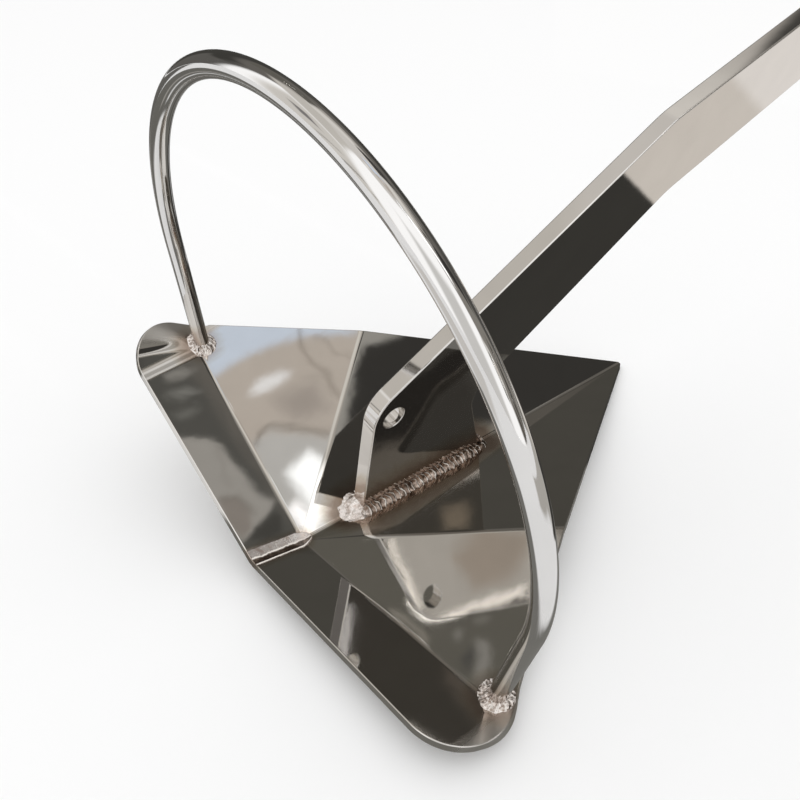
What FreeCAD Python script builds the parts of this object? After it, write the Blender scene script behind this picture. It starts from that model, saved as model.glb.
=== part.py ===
import FreeCAD, Part
import math
import os

V = FreeCAD.Vector

# ---------------------------------------------------------------- dimensions (mm)
# Drawing frame: X forward along the centre crease with the fluke tip at the
# origin, Y to port, Z away from the fluke on the side that carries the shank.
CREASE_L = 400.0            # centre crease, tip to the point where all folds meet
PLATE_T = 5.0               # fluke sheet
FRONT_SLOPE = 0.4727        # rise of a front facet per mm outboard
REAR_GX, REAR_GY = 0.1796, 0.2689      # rear facet gradients
HEEL_GX, HEEL_GY = -0.2694, 0.2953     # turned-up heel strip gradients
FLAP_RISE = 0.50            # extra gradient of the corner flap across its bend
SHOULDER = (-260.1, 123.0)  # wide point where the diagonal fold meets the edge
HEEL_X = -443.5             # rear edge of the heel strip at the seam
# The two heel corners are cut and bent up by hand and differ a little; y is given
# as a distance from the mid-plane. Outline: centre of the round corner, its radius,
# and the knee ahead of it where there is one. Flap: bend line from the hoop foot to
# the rear.
OUTLINE_PORT = ((-405.0, 161.0), 38.0, (-370.0, 192.8))
OUTLINE_STARBOARD = ((-402.5, 160.5), 36.3, None)
FLAP_PORT = ((-389.0, 182.0), (-436.0, 179.8))
FLAP_STARBOARD = ((-389.2, 180.8), (-409.2, 196.0))
R_CREASE = 5.0              # inside bend radii
R_DIAGONAL = 16.0
R_HEEL = 10.0
R_FLAP = 20.0
R_FLAP_FRONT = 8.0
R_SEAM = 14.0
HUB_R = 6.5                 # weld button where the folds meet
TIP_BLUNT = 3.0             # tip cut back from the sharp point

BAR_R = 6.0                 # hoop round bar, 12 mm
BAR_BASE = (-385.4, 179.5, 60.2)       # reference point on a leg's axis
BAR_TILT = -0.1389          # hoop plane leans back, radians
BAR_LEG = 96.5              # straight leg above the reference point
BAR_LEG_Y = 182.4           # half width at the top of the straight leg
BAR_CROWN = 181.7           # height of the bow above the legs
BAR_FOOT = -17.6            # end of the bar below the reference point
BOW_SIDE_R = 181.0          # radius of the bow where it leaves the legs

SHANK_T = 12.7              # shank plate
SHANK_REAR_FOOT = (-348.4, 0.0)
SHANK_REAR_BEND = (-352.9, 119.4)
SHANK_TOP_BEND = (-121.8, 283.2)
SHANK_LOW_BEND = (-89.3, 223.2)
SHANK_THROAT = (-255.4, 87.4)
SHANK_FRONT_FOOT = (-218.4, 0.0)
EYE_C = (218.0, 400.7)      # shackle-pin hole and the round nose about it
EYE_R = 8.0
NOSE_R = 26.0
TRIP_C = (-335.4, 106.8)    # tripping-line hole in the bend
TRIP_R = 9.0
R_REAR_BEND = 30.0
R_THROAT = 24.0
R_FAR_BEND = 70.0
ARRIS = 1.0

BEAD_TOP = 13.0             # shank weld: height on the shank face
BEAD_OUT = 16.8             # and reach from the centre plane
BEAD_FRONT_TOP = 9.0
BEAD_FRONT_OUT = 11.0
RING_R = 12.0               # hoop foot welds
RING_H = 7.0

# Rest attitude: the anchor lies rolled to starboard on its tip, on the underside
# of the fold point and on the end of the starboard hoop leg. REST_UP is the
# floor's normal in the drawing frame; REST_SHIFT (row frame) brings the middle
# of the footprint box to the origin and the floor to Z = 0.
REST_UP = (-0.003158, 0.253324, 0.967376)
REST_SHIFT = (99.744, 24.315, 4.64)


# ---------------------------------------------------------------- small helpers
def unit(v):
    v = V(v)
    v.normalize()
    return v


class Plane:
    """Top surface plane z = c + gx*x + gy*y."""

    def __init__(self, gx, gy, through):
        self.gx, self.gy = gx, gy
        self.c = through[2] - gx * through[0] - gy * through[1]
        self.n = unit(V(-gx, -gy, 1.0))

    def at(self, x, y):
        return V(x, y, self.c + self.gx * x + self.gy * y)


def half_space(point, normal, size=1400.0, depth=1400.0):
    """Block on the +normal side of the plane through point."""
    n = unit(normal)
    a = unit(n.cross(V(0.31, 0.87, 0.38)))
    b = n.cross(a)
    p = V(point)
    q = [p + a * s * size + b * t * size for s, t in ((-1, -1), (1, -1), (1, 1), (-1, 1))]
    face = Part.Face(Part.makePolygon(q + [q[0]]))
    return face.extrude(n * depth)


def mirror(shape):
    return shape.mirror(V(0, 0, 0), V(0, 1, 0))


def fuse_all(shapes):
    s = shapes[0].multiFuse(shapes[1:])
    s = s.removeSplitter()
    return s


def one_solid(shape, name):
    solids = shape.Solids
    if len(solids) != 1:
        print("WARNING", name, "has", len(solids), "solids", [round(s.Volume, 2) for s in solids])
        solids = sorted(solids, key=lambda s: -s.Volume)
    return solids[0]


# ---------------------------------------------------------------- fluke planes
P2 = V(-CREASE_L, 0, 0)
front = Plane(0.0, FRONT_SLOPE, (0, 0, 0))
rear = Plane(REAR_GX, REAR_GY, (P2.x, 0, 0))
heel = Plane(HEEL_GX, HEEL_GY, (P2.x, 0, 0))


def flap_plane(a, b):
    """Top plane of a corner flap that turns up along the line a to b."""
    along = V(b[0] - a[0], b[1] - a[1], 0)
    along.normalize()
    out = V(-along.y, along.x, 0)
    if out.y < 0:
        out = out * -1
    return Plane(HEEL_GX + FLAP_RISE * out.x, HEEL_GY + FLAP_RISE * out.y, heel.at(*a))


def mir_plane(p):
    q = Plane(p.gx, -p.gy, (0, 0, p.c))
    return q


def line_between(p, q):
    """Direction of the fold line of two planes, in plan and in space."""
    dx, dy = p.gx - q.gx, p.gy - q.gy
    d = V(-dy, dx, 0)
    d.normalize()
    return V(d.x, d.y, p.gx * d.x + p.gy * d.y)


def outline_prism(plane, outline):
    """Everything inboard of the port outline, walls square to the sheet."""
    (cx, cy), r, knee = outline
    sx, sy = knee or SHOULDER
    # tangents to the corner circle, from ahead and from the rear edge at the seam
    t1 = math.atan2(sy - cy, sx - cx) + math.acos(r / math.hypot(sx - cx, sy - cy))
    t2 = (math.atan2(-cy, HEEL_X - cx) - math.acos(r / math.hypot(HEEL_X - cx, cy))) % math.tau
    pts = []
    n = 12
    for i in range(n + 1):
        a = t1 + (t2 - t1) * i / n
        pts.append(plane.at(cx + r * math.cos(a), cy + r * math.sin(a)))
    curve = Part.BSplineCurve()
    curve.interpolate(pts)
    arc = curve.toShape()
    y_in = -70.0
    k = SHOULDER[1] / SHOULDER[0]
    rear_x = HEEL_X + (pts[-1].x - HEEL_X) * y_in / pts[-1].y
    line = [plane.at(rear_x, y_in), plane.at(y_in / k, y_in), plane.at(*SHOULDER)]
    if knee:
        line.append(plane.at(*knee))
    line.append(pts[0])
    e = [Part.makeLine(p, q) for p, q in zip(line[:-1], line[1:])] + [arc, Part.makeLine(pts[-1], line[0])]
    face = Part.Face(Part.Wire(e))
    face.translate(plane.n * 30.0)
    return face.extrude(plane.n * -60.0)


class Fold:
    """Bend of inside radius r between sheet planes p and q along a line."""

    def __init__(self, p, q, start, end, r, valley=True):
        self.u = unit(end - start)
        self.s, self.e = V(start), V(end)
        np_, nq = p.n, q.n
        k = 1.0 / (1.0 + np_.dot(nq))
        if valley:
            self.off = (np_ + nq) * (k * r)
            self.r_top, self.r_bot = r, r + PLATE_T
            self.sign = -1.0
        else:
            self.off = (np_ + nq) * (-k * (r + PLATE_T))
            self.r_top, self.r_bot = r + PLATE_T, r
            self.sign = 1.0
        self.p, self.q = p, q

    def centre(self, at=0.0):
        return self.s + self.off + self.u * at

    def side(self, plane):
        """Half space that keeps the flat part of the given sheet plane."""
        m = self.u.cross(plane.n)
        mid = self.q if plane is self.p else self.p
        # away from the other facet
        probe = (plane.n - mid.n) * (-self.sign)
        if m.dot(probe) > 0:
            m = m * -1
        return half_space(self.centre(), m)

    def solid(self, before=0.0, after=0.0):
        c = self.s + self.off - self.u * before
        length = (self.e - self.s).Length + before + after
        s = self.sign
        a1 = c + self.p.n * (s * self.r_top)
        a2 = c + self.q.n * (s * self.r_top)
        b1 = c + self.p.n * (s * self.r_bot)
        b2 = c + self.q.n * (s * self.r_bot)
        mid = unit(self.p.n + self.q.n)
        am = c + mid * (s * self.r_top)
        bm = c + mid * (s * self.r_bot)
        wire = Part.Wire([
            Part.Arc(a1, am, a2).toShape(), Part.makeLine(a2, b2),
            Part.Arc(b2, bm, b1).toShape(), Part.makeLine(b1, a1)])
        return Part.Face(wire).extrude(self.u * length)


fp, fs = front, mir_plane(front)
rp, hp = rear, heel
d_diag = line_between(front, rear)
if d_diag.y < 0:
    d_diag = d_diag * -1
d_heel = line_between(rear, heel)
if d_heel.y < 0:
    d_heel = d_heel * -1

crease = Fold(fp, fs, P2, V(0, 0, 0), R_CREASE, True)
diagonal = Fold(fp, rp, P2, P2 + d_diag * (SHOULDER[1] / d_diag.y), R_DIAGONAL, False)
seam = Fold(hp, mir_plane(heel), P2, V(HEEL_X, 0, hp.at(HEEL_X, 0).z), R_SEAM, True)


def slab(plane):
    pts = [plane.at(x, y) for x, y in ((-480, -90), (60, -90), (60, 230), (-480, 230))]
    return Part.Face(Part.makePolygon(pts + [pts[0]])).extrude(plane.n * -PLATE_T)


prism_front = outline_prism(front, OUTLINE_PORT)
b_crease = crease.solid(0, 20).common(prism_front).common(mirror(prism_front))


def fluke_half(outline, bend):
    """Front and rear facets, heel strip half, corner flap and their bends, to port."""
    a, b = bend
    lp = flap_plane(a, b)
    prism_front, prism_rear, prism_heel, prism_flap = [outline_prism(p, outline) for p in (fp, rp, hp, lp)]
    a3 = hp.at(*a)
    d_ff = line_between(rp, lp)
    if d_ff.x < 0:
        d_ff = d_ff * -1
    heel_fold = Fold(rp, hp, P2, P2 + d_heel * (a[1] / d_heel.y), R_HEEL, True)
    flap_fold = Fold(hp, lp, a3, hp.at(*b), R_FLAP, True)
    flap_front = Fold(rp, lp, a3, a3 + d_ff * 24.0, R_FLAP_FRONT, True)
    front_p = slab(fp).common(prism_front).common(crease.side(fp)).common(diagonal.side(fp))
    b_diag = diagonal.solid(0, 30).common(prism_front).common(prism_rear)
    rear_p = slab(rp).common(prism_rear).common(diagonal.side(rp)).common(heel_fold.side(rp))
    rear_p = rear_p.common(flap_front.side(rp))
    heel_p = slab(hp).common(prism_heel).common(heel_fold.side(hp)).common(seam.side(hp))
    heel_p = heel_p.common(flap_fold.side(hp))
    flap_p = slab(lp).common(prism_flap).common(flap_fold.side(lp)).common(flap_front.side(lp))
    b_heel = heel_fold.solid(0, 2.0)
    b_flap = flap_fold.solid(2.0, 25).common(prism_heel).common(prism_flap)
    b_ff = flap_front.solid(2.0, 10).common(prism_rear).common(prism_flap)
    return [front_p, rear_p, heel_p, flap_p, b_diag, b_heel, b_flap, b_ff]


def hub_prism(r, z0, height, sides=12):
    ring = [V(P2.x + r * math.cos(math.tau * i / sides), r * math.sin(math.tau * i / sides), z0)
            for i in range(sides)]
    return Part.Face(Part.makePolygon(ring + [ring[0]])).extrude(V(0, 0, height))


hub_hole = hub_prism(HUB_R, -30, 60)
port = fluke_half(OUTLINE_PORT, FLAP_PORT)
starboard = [mirror(s) for s in fluke_half(OUTLINE_STARBOARD, FLAP_STARBOARD)]
pieces = [s.cut(hub_hole) for s in [b_crease] + port + starboard]
plate = fuse_all(pieces)

# ---------------------------------------------------------------- hoop axis
tilt_u = V(math.sin(BAR_TILT), 0, math.cos(BAR_TILT))
base = V(BAR_BASE[0], 0, BAR_BASE[2])


def hoop_pt(y, s):
    return base + tilt_u * s + V(0, y, 0)


# side arcs and a flatter crown arc, all tangent
side_c = BAR_LEG_Y - BOW_SIDE_R
rise = BAR_CROWN
crown_r = (side_c ** 2 + rise ** 2 - BOW_SIDE_R ** 2) / (2 * (rise - BOW_SIDE_R))
crown_c = rise - crown_r
t_join = math.atan2(-crown_c, side_c)
lean = math.atan2(BAR_LEG_Y - BAR_BASE[1], BAR_LEG)


def bow_pt(cy, cz, r, ang):
    return hoop_pt(cy + r * math.cos(ang), BAR_LEG + cz + r * math.sin(ang))


def flip(v):
    return V(v.x, -v.y, v.z)


p_leg = bow_pt(side_c, 0, BOW_SIDE_R, -lean)
p_side = bow_pt(side_c, 0, BOW_SIDE_R, (t_join - lean) / 2)
p_join = bow_pt(side_c, 0, BOW_SIDE_R, t_join)
p_top = hoop_pt(0, BAR_LEG + BAR_CROWN)
leg_dir = unit(tilt_u * math.cos(lean) + V(0, math.sin(lean), 0))
s_leg = BAR_LEG - BOW_SIDE_R * math.sin(lean)
foot_p = p_leg - leg_dir * ((s_leg - BAR_FOOT) / math.cos(lean))
path = Part.Wire([
    Part.makeLine(foot_p, p_leg), Part.Arc(p_leg, p_side, p_join).toShape(),
    Part.Arc(p_join, p_top, flip(p_join)).toShape(),
    Part.Arc(flip(p_join), flip(p_side), flip(p_leg)).toShape(),
    Part.makeLine(flip(p_leg), flip(foot_p))])

bore = Part.makeCylinder(BAR_R, 80, foot_p - leg_dir * 30, leg_dir)
plate = plate.cut(bore).cut(mirror(bore))
tip_cut = half_space(V(-TIP_BLUNT, 0, 0), V(1, 0, 0))
plate = plate.cut(tip_cut)
plate = one_solid(plate.removeSplitter(), "fluke_plate")

# ---------------------------------------------------------------- heel seam weld
button = hub_prism(HUB_R, -4.4, 4.8)
crown = hub_prism(HUB_R - 1.2, 0.4, 0.8)
rear_dir = V(HEEL_X - P2.x, 0, hp.at(HEEL_X, 0).z)
tail_cut = half_space(V(HEEL_X, 0, hp.at(HEEL_X, 0).z), rear_dir)
seam_bead = seam.solid(0, 20).cut(tail_cut)
heel_seam = one_solid(fuse_all([button, crown, seam_bead]).cut(plate), "heel_seam_weld")

# ---------------------------------------------------------------- roll bar
circle = Part.Wire([Part.makeCircle(BAR_R, foot_p, leg_dir)])
roll_bar = path.makePipeShell([circle], True, True)
roll_bar = one_solid(roll_bar, "roll_bar")

# ---------------------------------------------------------------- shank
def tangent_from(p, c, r, upper):
    dx, dz = c[0] - p[0], c[1] - p[1]
    d = math.hypot(dx, dz)
    b = math.atan2(p[1] - c[1], p[0] - c[0])
    a = math.acos(r / d)
    t = b - a if upper else b + a
    return (c[0] + r * math.cos(t), c[1] + r * math.sin(t))


def fillet_pts(a, b, c, r):
    """Tangent points and mid-point of the arc that rounds corner b."""
    ba = V(a[0] - b[0], 0, a[1] - b[1])
    bc = V(c[0] - b[0], 0, c[1] - b[1])
    ba.normalize()
    bc.normalize()
    half = math.acos(max(-1, min(1, ba.dot(bc)))) / 2
    t = r / math.tan(half)
    bis = unit(ba + bc)
    o = V(b[0], 0, b[1]) + bis * (r / math.sin(half))
    p1 = V(b[0], 0, b[1]) + ba * t
    p2 = V(b[0], 0, b[1]) + bc * t
    return p1, o - bis * r, p2


up_t = tangent_from(SHANK_TOP_BEND, EYE_C, NOSE_R, True)
lo_t = tangent_from(SHANK_LOW_BEND, EYE_C, NOSE_R, False)
rf = (SHANK_REAR_FOOT[0] + 0.3, -8.0)
ff = (SHANK_FRONT_FOOT[0] + 3.4, -8.0)
a1 = fillet_pts(rf, SHANK_REAR_BEND, SHANK_TOP_BEND, R_REAR_BEND)
a2 = fillet_pts(SHANK_REAR_BEND, SHANK_TOP_BEND, up_t, R_FAR_BEND)
b2 = fillet_pts(lo_t, SHANK_LOW_BEND, SHANK_THROAT, R_FAR_BEND)
b1 = fillet_pts(SHANK_LOW_BEND, SHANK_THROAT, ff, R_THROAT)
eye_dir = unit(V(EYE_C[0] - SHANK_TOP_BEND[0], 0, EYE_C[1] - (SHANK_TOP_BEND[1] + SHANK_LOW_BEND[1]) / 2))
nose_mid = V(EYE_C[0], 0, EYE_C[1]) + eye_dir * NOSE_R
up3, lo3 = V(up_t[0], 0, up_t[1]), V(lo_t[0], 0, lo_t[1])
rf3, ff3 = V(rf[0], 0, rf[1]), V(ff[0], 0, ff[1])
edges = [
    Part.makeLine(rf3, a1[0]), Part.Arc(*a1).toShape(), Part.makeLine(a1[2], a2[0]),
    Part.Arc(*a2).toShape(), Part.makeLine(a2[2], up3), Part.Arc(up3, nose_mid, lo3).toShape(),
    Part.makeLine(lo3, b2[0]), Part.Arc(*b2).toShape(), Part.makeLine(b2[2], b1[0]),
    Part.Arc(*b1).toShape(), Part.makeLine(b1[2], ff3), Part.makeLine(ff3, rf3)]
face = Part.Face(Part.Wire(edges))
face.translate(V(0, -SHANK_T / 2, 0))
shank = face.extrude(V(0, SHANK_T, 0))
sel = []
for e in shank.Edges:
    b = e.BoundBox
    if b.YLength < 1e-6 and not (b.ZLength < 1e-6 and abs(b.ZMin + 8.0) < 1e-6):
        sel.append(e)
try:
    rounded = shank.makeFillet(ARRIS, sel)
    if rounded.isValid() and rounded.Volume > 0.9 * shank.Volume:
        shank = rounded
    else:
        print("WARNING arris rounding invalid")
except Exception as exc:
    print("WARNING arris rounding failed", exc)
for c, r in ((EYE_C, EYE_R), (TRIP_C, TRIP_R)):
    shank = shank.cut(Part.makeCylinder(r, SHANK_T + 20, V(c[0], -SHANK_T / 2 - 10, c[1]), V(0, 1, 0)))
above_p = half_space(V(0, 0, 0), front.n)
above_s = half_space(V(0, 0, 0), mir_plane(front).n)
shank = shank.common(above_p).common(above_s).cut(plate)
shank = one_solid(shank, "shank")

# ---------------------------------------------------------------- shank weld
def bead_profile(top, out, x0, swell):
    """Half section from the centre plane out, in the plane x = x0."""
    foot_z = FRONT_SLOPE * out
    a = V(x0, SHANK_T / 2, top)
    b = V(x0, out, foot_z - 0.4)
    mid = (a + b) * 0.5 + unit(V(0, top - foot_z, out - SHANK_T / 2)) * swell
    return [Part.makeLine(V(x0, 0, -6), V(x0, 0, top)), Part.makeLine(V(x0, 0, top), a),
            Part.Arc(a, mid, b).toShape(), Part.makeLine(b, V(x0, out, -6)),
            Part.makeLine(V(x0, out, -6), V(x0, 0, -6))]


x_r, x_f = SHANK_REAR_FOOT[0] + 1.0, SHANK_FRONT_FOOT[0] - 8.0
prof = Part.Face(Part.Wire(bead_profile(BEAD_TOP, BEAD_OUT, x_r, 1.6)))
side = prof.extrude(V(x_f - x_r, 0, 0))
rear_end = prof.revolve(V(x_r, 0, 0), V(0, 0, 1), 180)
front_prof = Part.Face(Part.Wire(bead_profile(BEAD_FRONT_TOP, BEAD_FRONT_OUT, x_f, 0.8)))
front_end = front_prof.revolve(V(x_f, 0, 0), V(0, 0, 1), -180)
front_end.translate(V(6.0, 0, 0))
front_mid = front_prof.extrude(V(6.0, 0, 0))
bead = fuse_all([side, mirror(side), rear_end, front_end, front_mid, mirror(front_mid)])
bead = bead.common(above_p).common(above_s).cut(shank).cut(plate)
shank_weld = one_solid(bead, "shank_weld")

# ---------------------------------------------------------------- hoop foot welds
c0 = foot_p + leg_dir * 5.6
side_v = unit(leg_dir.cross(V(0, 1, 0)))
ring_pts = [c0 - leg_dir * 12, c0 - leg_dir * 12 + side_v * RING_R,
            c0 - leg_dir * 3.0 + side_v * RING_R]
ring_top = c0 + leg_dir * RING_H + side_v * (BAR_R + 0.2)
ring_mid = c0 + leg_dir * (RING_H * 0.50) + side_v * (BAR_R + 3.9)
ring_in = c0 + leg_dir * RING_H
ring_face = Part.Face(Part.Wire([
    Part.makeLine(ring_pts[0], ring_pts[1]), Part.makeLine(ring_pts[1], ring_pts[2]),
    Part.Arc(ring_pts[2], ring_mid, ring_top).toShape(), Part.makeLine(ring_top, ring_in),
    Part.makeLine(ring_in, ring_pts[0])]))
ring_blank = ring_face.revolve(c0, leg_dir, 360)


def foot_ring(a, b):
    """Weld around a hoop foot, above all three sheet planes, to port."""
    ring = ring_blank
    for pl in (rear, heel, flap_plane(a, b)):
        ring = ring.common(half_space(pl.at(*a), pl.n))
    return ring


bar_weld_port = one_solid(foot_ring(*FLAP_PORT).cut(roll_bar).cut(plate), "bar_weld_port")
bar_weld_starboard = one_solid(mirror(foot_ring(*FLAP_STARBOARD)).cut(roll_bar).cut(plate), "bar_weld_starboard")

# ---------------------------------------------------------------- row frame, files
nodes = {
    "fluke_plate": plate,
    "shank": shank,
    "roll_bar": roll_bar,
    "shank_weld": shank_weld,
    "heel_seam_weld": heel_seam,
    "bar_weld_port": bar_weld_port,
    "bar_weld_starboard": bar_weld_starboard,
}
rz = unit(V(*REST_UP))
rx = unit(V(1, 0, 0) - rz * rz.x)
ry = rz.cross(rx)
m = FreeCAD.Matrix(rx.x, rx.y, rx.z, REST_SHIFT[0],
                   ry.x, ry.y, ry.z, REST_SHIFT[1],
                   rz.x, rz.y, rz.z, REST_SHIFT[2],
                   0, 0, 0, 1)
place = FreeCAD.Placement(m)

os.makedirs("parts", exist_ok=True)
for name, shape in nodes.items():
    shape = shape.copy()
    shape.Placement = place.multiply(shape.Placement)
    solid = shape.Solids[0] if shape.ShapeType != "Solid" else shape
    print(name, "valid", solid.isValid(), "closed", solid.isClosed(),
          "volume", round(solid.Volume / 1000.0, 2), "cm3", "faces", len(solid.Faces))
    solid.exportStep("parts/" + name + ".step")
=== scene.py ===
import math

import bpy
import numpy as np
from mathutils import Matrix, Vector, noise
from mathutils.geometry import delaunay_2d_cdt


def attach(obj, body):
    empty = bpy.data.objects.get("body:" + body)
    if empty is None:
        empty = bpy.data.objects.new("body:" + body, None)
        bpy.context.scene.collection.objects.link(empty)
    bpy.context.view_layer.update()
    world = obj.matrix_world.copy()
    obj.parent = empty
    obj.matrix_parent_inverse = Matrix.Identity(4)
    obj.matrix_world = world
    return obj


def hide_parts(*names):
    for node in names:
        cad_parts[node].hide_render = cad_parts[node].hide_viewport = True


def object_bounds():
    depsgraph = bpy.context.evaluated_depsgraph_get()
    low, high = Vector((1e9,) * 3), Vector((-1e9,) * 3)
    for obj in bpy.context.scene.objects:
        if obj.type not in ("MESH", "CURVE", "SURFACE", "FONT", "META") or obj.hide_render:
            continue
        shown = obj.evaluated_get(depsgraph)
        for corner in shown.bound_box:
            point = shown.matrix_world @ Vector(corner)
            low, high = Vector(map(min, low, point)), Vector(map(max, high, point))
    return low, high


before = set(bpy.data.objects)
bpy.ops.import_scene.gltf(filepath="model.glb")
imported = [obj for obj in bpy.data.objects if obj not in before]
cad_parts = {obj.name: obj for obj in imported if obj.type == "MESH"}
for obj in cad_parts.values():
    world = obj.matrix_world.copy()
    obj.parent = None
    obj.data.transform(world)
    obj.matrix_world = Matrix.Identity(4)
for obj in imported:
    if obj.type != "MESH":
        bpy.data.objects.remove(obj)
bpy.context.view_layer.update()
CAD_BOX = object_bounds()

# ------------------------------------------------------------------ dimensions
# The same numbers as the solids, in mm. Drawing frame: X forward along the crease
# with the fluke tip at the origin, Y to port, Z on the shank's side.
CREASE_L = 400.0
PLATE_T = 5.0
FRONT_SLOPE = 0.4727
REAR_G = (0.1796, 0.2689)
HEEL_G = (-0.2694, 0.2953)
FLAP_RISE = 0.50
REAR_PULL = (0.138, 0.3537)
SHOULDER = (-260.1, 123.0)
HEEL_X = -443.5
OUTLINE_PORT = ((-405.0, 161.0), 38.0, (-370.0, 192.8))
OUTLINE_STARBOARD = ((-402.5, 160.5), 36.3, None)
FLAP_PORT = ((-389.0, 182.0), (-436.0, 179.8))
FLAP_STARBOARD = ((-389.2, 180.8), (-409.2, 196.0))
BAR_R = 6.0
BAR_BASE = (-385.4, 179.5, 60.2)
BAR_TILT = -0.1389
BAR_LEG = 96.5
BAR_LEG_Y = 182.4
BAR_CROWN = 181.7
BAR_FOOT = -17.6
BOW_SIDE_R = 181.0
SHANK_T = 12.7
SHANK_REAR_FOOT = (-348.4, 0.0)
SHANK_REAR_BEND = (-352.9, 119.4)
SHANK_TOP_BEND = (-121.8, 283.2)
SHANK_LOW_BEND = (-89.3, 223.2)
SHANK_THROAT = (-255.4, 87.4)
SHANK_FRONT_FOOT = (-218.4, 0.0)
EYE_C, EYE_R, NOSE_R = (218.0, 400.7), 8.0, 26.0
TRIP_C, TRIP_R = (-335.4, 106.8), 9.0
R_REAR_BEND, R_THROAT, R_FAR_BEND = 30.0, 24.0, 70.0
ARRIS = 1.0

up = np.array([-0.003158, 0.253324, 0.967376])
up /= np.linalg.norm(up)
rx = np.array([1.0, 0, 0]) - up * up[0]
rx /= np.linalg.norm(rx)
ROW = np.array([rx, np.cross(up, rx), up])
SHIFT = np.array([99.744, 24.315, 4.64])


def to_row(p):
    """Drawing frame, mm, to row frame, metres."""
    return (np.asarray(p, float) @ ROW.T + SHIFT) / 1000.0


# ------------------------------------------------------------------ mesh helpers
def new_mesh(name, verts, faces, normals=None, attrs=None):
    """Mesh object from drawing-frame points, with exact vertex normals where given."""
    verts = np.asarray(verts, float)
    me = bpy.data.meshes.new(name)
    row = np.clip(to_row(verts), CAD_BOX[0], CAD_BOX[1])
    me.from_pydata(row.tolist(), [], [list(map(int, f)) for f in faces])
    me.validate()
    for p in me.polygons:
        p.use_smooth = True
    a = me.attributes.new("draw", "FLOAT_VECTOR", "POINT")
    a.data.foreach_set("vector", (verts / 1000.0).astype(np.float32).ravel())
    for key, val in (attrs or {}).items():
        a = me.attributes.new(key, "FLOAT", "POINT")
        a.data.foreach_set("value", np.asarray(val, np.float32))
    if normals is not None:
        n = np.asarray(normals, float) @ ROW.T
        n /= np.maximum(np.linalg.norm(n, axis=1, keepdims=True), 1e-12)
        me.normals_split_custom_set_from_vertices(n.tolist())
    me.update()
    ob = bpy.data.objects.new(name, me)
    bpy.context.scene.collection.objects.link(ob)
    return ob


def unit(v):
    v = np.asarray(v, float)
    return v / np.maximum(np.linalg.norm(v, axis=-1, keepdims=True), 1e-12)


def rounded_polygon(pts, radii, step):
    """Closed polygon with its corners turned into arcs and its sides divided."""
    n = len(pts)
    pts = [np.array(p, float) for p in pts]
    out = []
    for i in range(n):
        a, b, c = pts[i - 1], pts[i], pts[(i + 1) % n]
        r = radii[i]
        ba, bc = unit(a - b), unit(c - b)
        half = math.acos(np.clip(ba @ bc, -1, 1)) / 2
        t = r / math.tan(half)
        o = b + unit(ba + bc) * (r / math.sin(half))
        s0 = b + ba * t - o
        s1 = b + bc * t - o
        a0, a1 = math.atan2(s0[1], s0[0]), math.atan2(s1[1], s1[0])
        d = (a1 - a0 + math.pi) % (2 * math.pi) - math.pi
        k = max(3, int(math.ceil(abs(d) * r / step)), int(math.ceil(abs(d) / 0.12)))
        out.append([o + r * np.array([math.cos(a0 + d * j / k), math.sin(a0 + d * j / k)]) for j in range(k + 1)])
    loop = []
    for i in range(n):
        loop += out[i]
        p, q = out[i][-1], out[(i + 1) % n][0]
        k = max(1, int(math.ceil(np.linalg.norm(q - p) / step)))
        loop += [p + (q - p) * j / k for j in range(1, k)]
    return np.array(loop)


def signed_area(loop):
    x, y = loop[:, 0], loop[:, 1]
    return 0.5 * float((x * np.roll(y, -1) - np.roll(x, -1) * y).sum())


def inside(poly, pts):
    """Which points lie inside a closed polygon."""
    x, y = pts[:, 0], pts[:, 1]
    res = np.zeros(len(pts), bool)
    px, py = poly[:, 0], poly[:, 1]
    qx, qy = np.roll(px, -1), np.roll(py, -1)
    for i in range(len(poly)):
        if py[i] == qy[i]:
            continue
        c = (py[i] > y) != (qy[i] > y)
        t = (qx[i] - px[i]) * (y - py[i]) / (qy[i] - py[i]) + px[i]
        res ^= c & (x < t)
    return res


def triangulate(outer, holes, extra):
    """Triangles in the plane inside outer and outside holes. Returns the points, the
    triangles and, for each input loop, the index of each of its points."""
    pts = [outer] + list(holes) + [extra]
    base, edges, spans = 0, [], []
    for loop in [outer] + list(holes):
        k = len(loop)
        edges += [(base + i, base + (i + 1) % k) for i in range(k)]
        spans.append((base, base + k))
        base += k
    allp = np.vstack([p for p in pts if len(p)])
    res = delaunay_2d_cdt([Vector(p) for p in allp], edges, [], 0, 1e-6)
    v = np.array([list(p) for p in res[0]])
    orig = res[3]
    where = {}
    for i, o in enumerate(orig):
        for j in o:
            where[j] = i
    tri = np.array(res[2])
    c = v[tri].mean(axis=1)
    keep = inside(outer, c)
    for h in holes:
        keep &= ~inside(h, c)
    tri = tri[keep]
    a = v[tri]
    ccw = ((a[:, 1, 0] - a[:, 0, 0]) * (a[:, 2, 1] - a[:, 0, 1])
           - (a[:, 2, 0] - a[:, 0, 0]) * (a[:, 1, 1] - a[:, 0, 1])) > 0
    tri[~ccw] = tri[~ccw][:, ::-1]
    loops = [[where[j] for j in range(s, e)] for s, e in spans]
    return v, tri, loops


class Builder:
    """Collects vertices with normals, and faces."""

    def __init__(self):
        self.v, self.n, self.f, self.count = [], [], [], 0

    def add(self, v, n):
        v, n = np.asarray(v, float), np.asarray(n, float)
        self.v.append(v)
        self.n.append(n)
        s = self.count
        self.count += len(v)
        return np.arange(s, self.count)

    def band(self, a, b, closed=True):
        """Quads between two rows of indices."""
        k = len(a)
        for i in range(k if closed else k - 1):
            j = (i + 1) % k
            self.f.append((a[i], a[j], b[j], b[i]))

    def make(self, name):
        return new_mesh(name, np.vstack(self.v), self.f, np.vstack(self.n))


# ------------------------------------------------------------------ fluke surface
W_CREASE, W_SEAM = 2.14, 3.96
H_DIAG, H_HEEL, H_FLAP = 0.68, 0.95, 2.05


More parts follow.
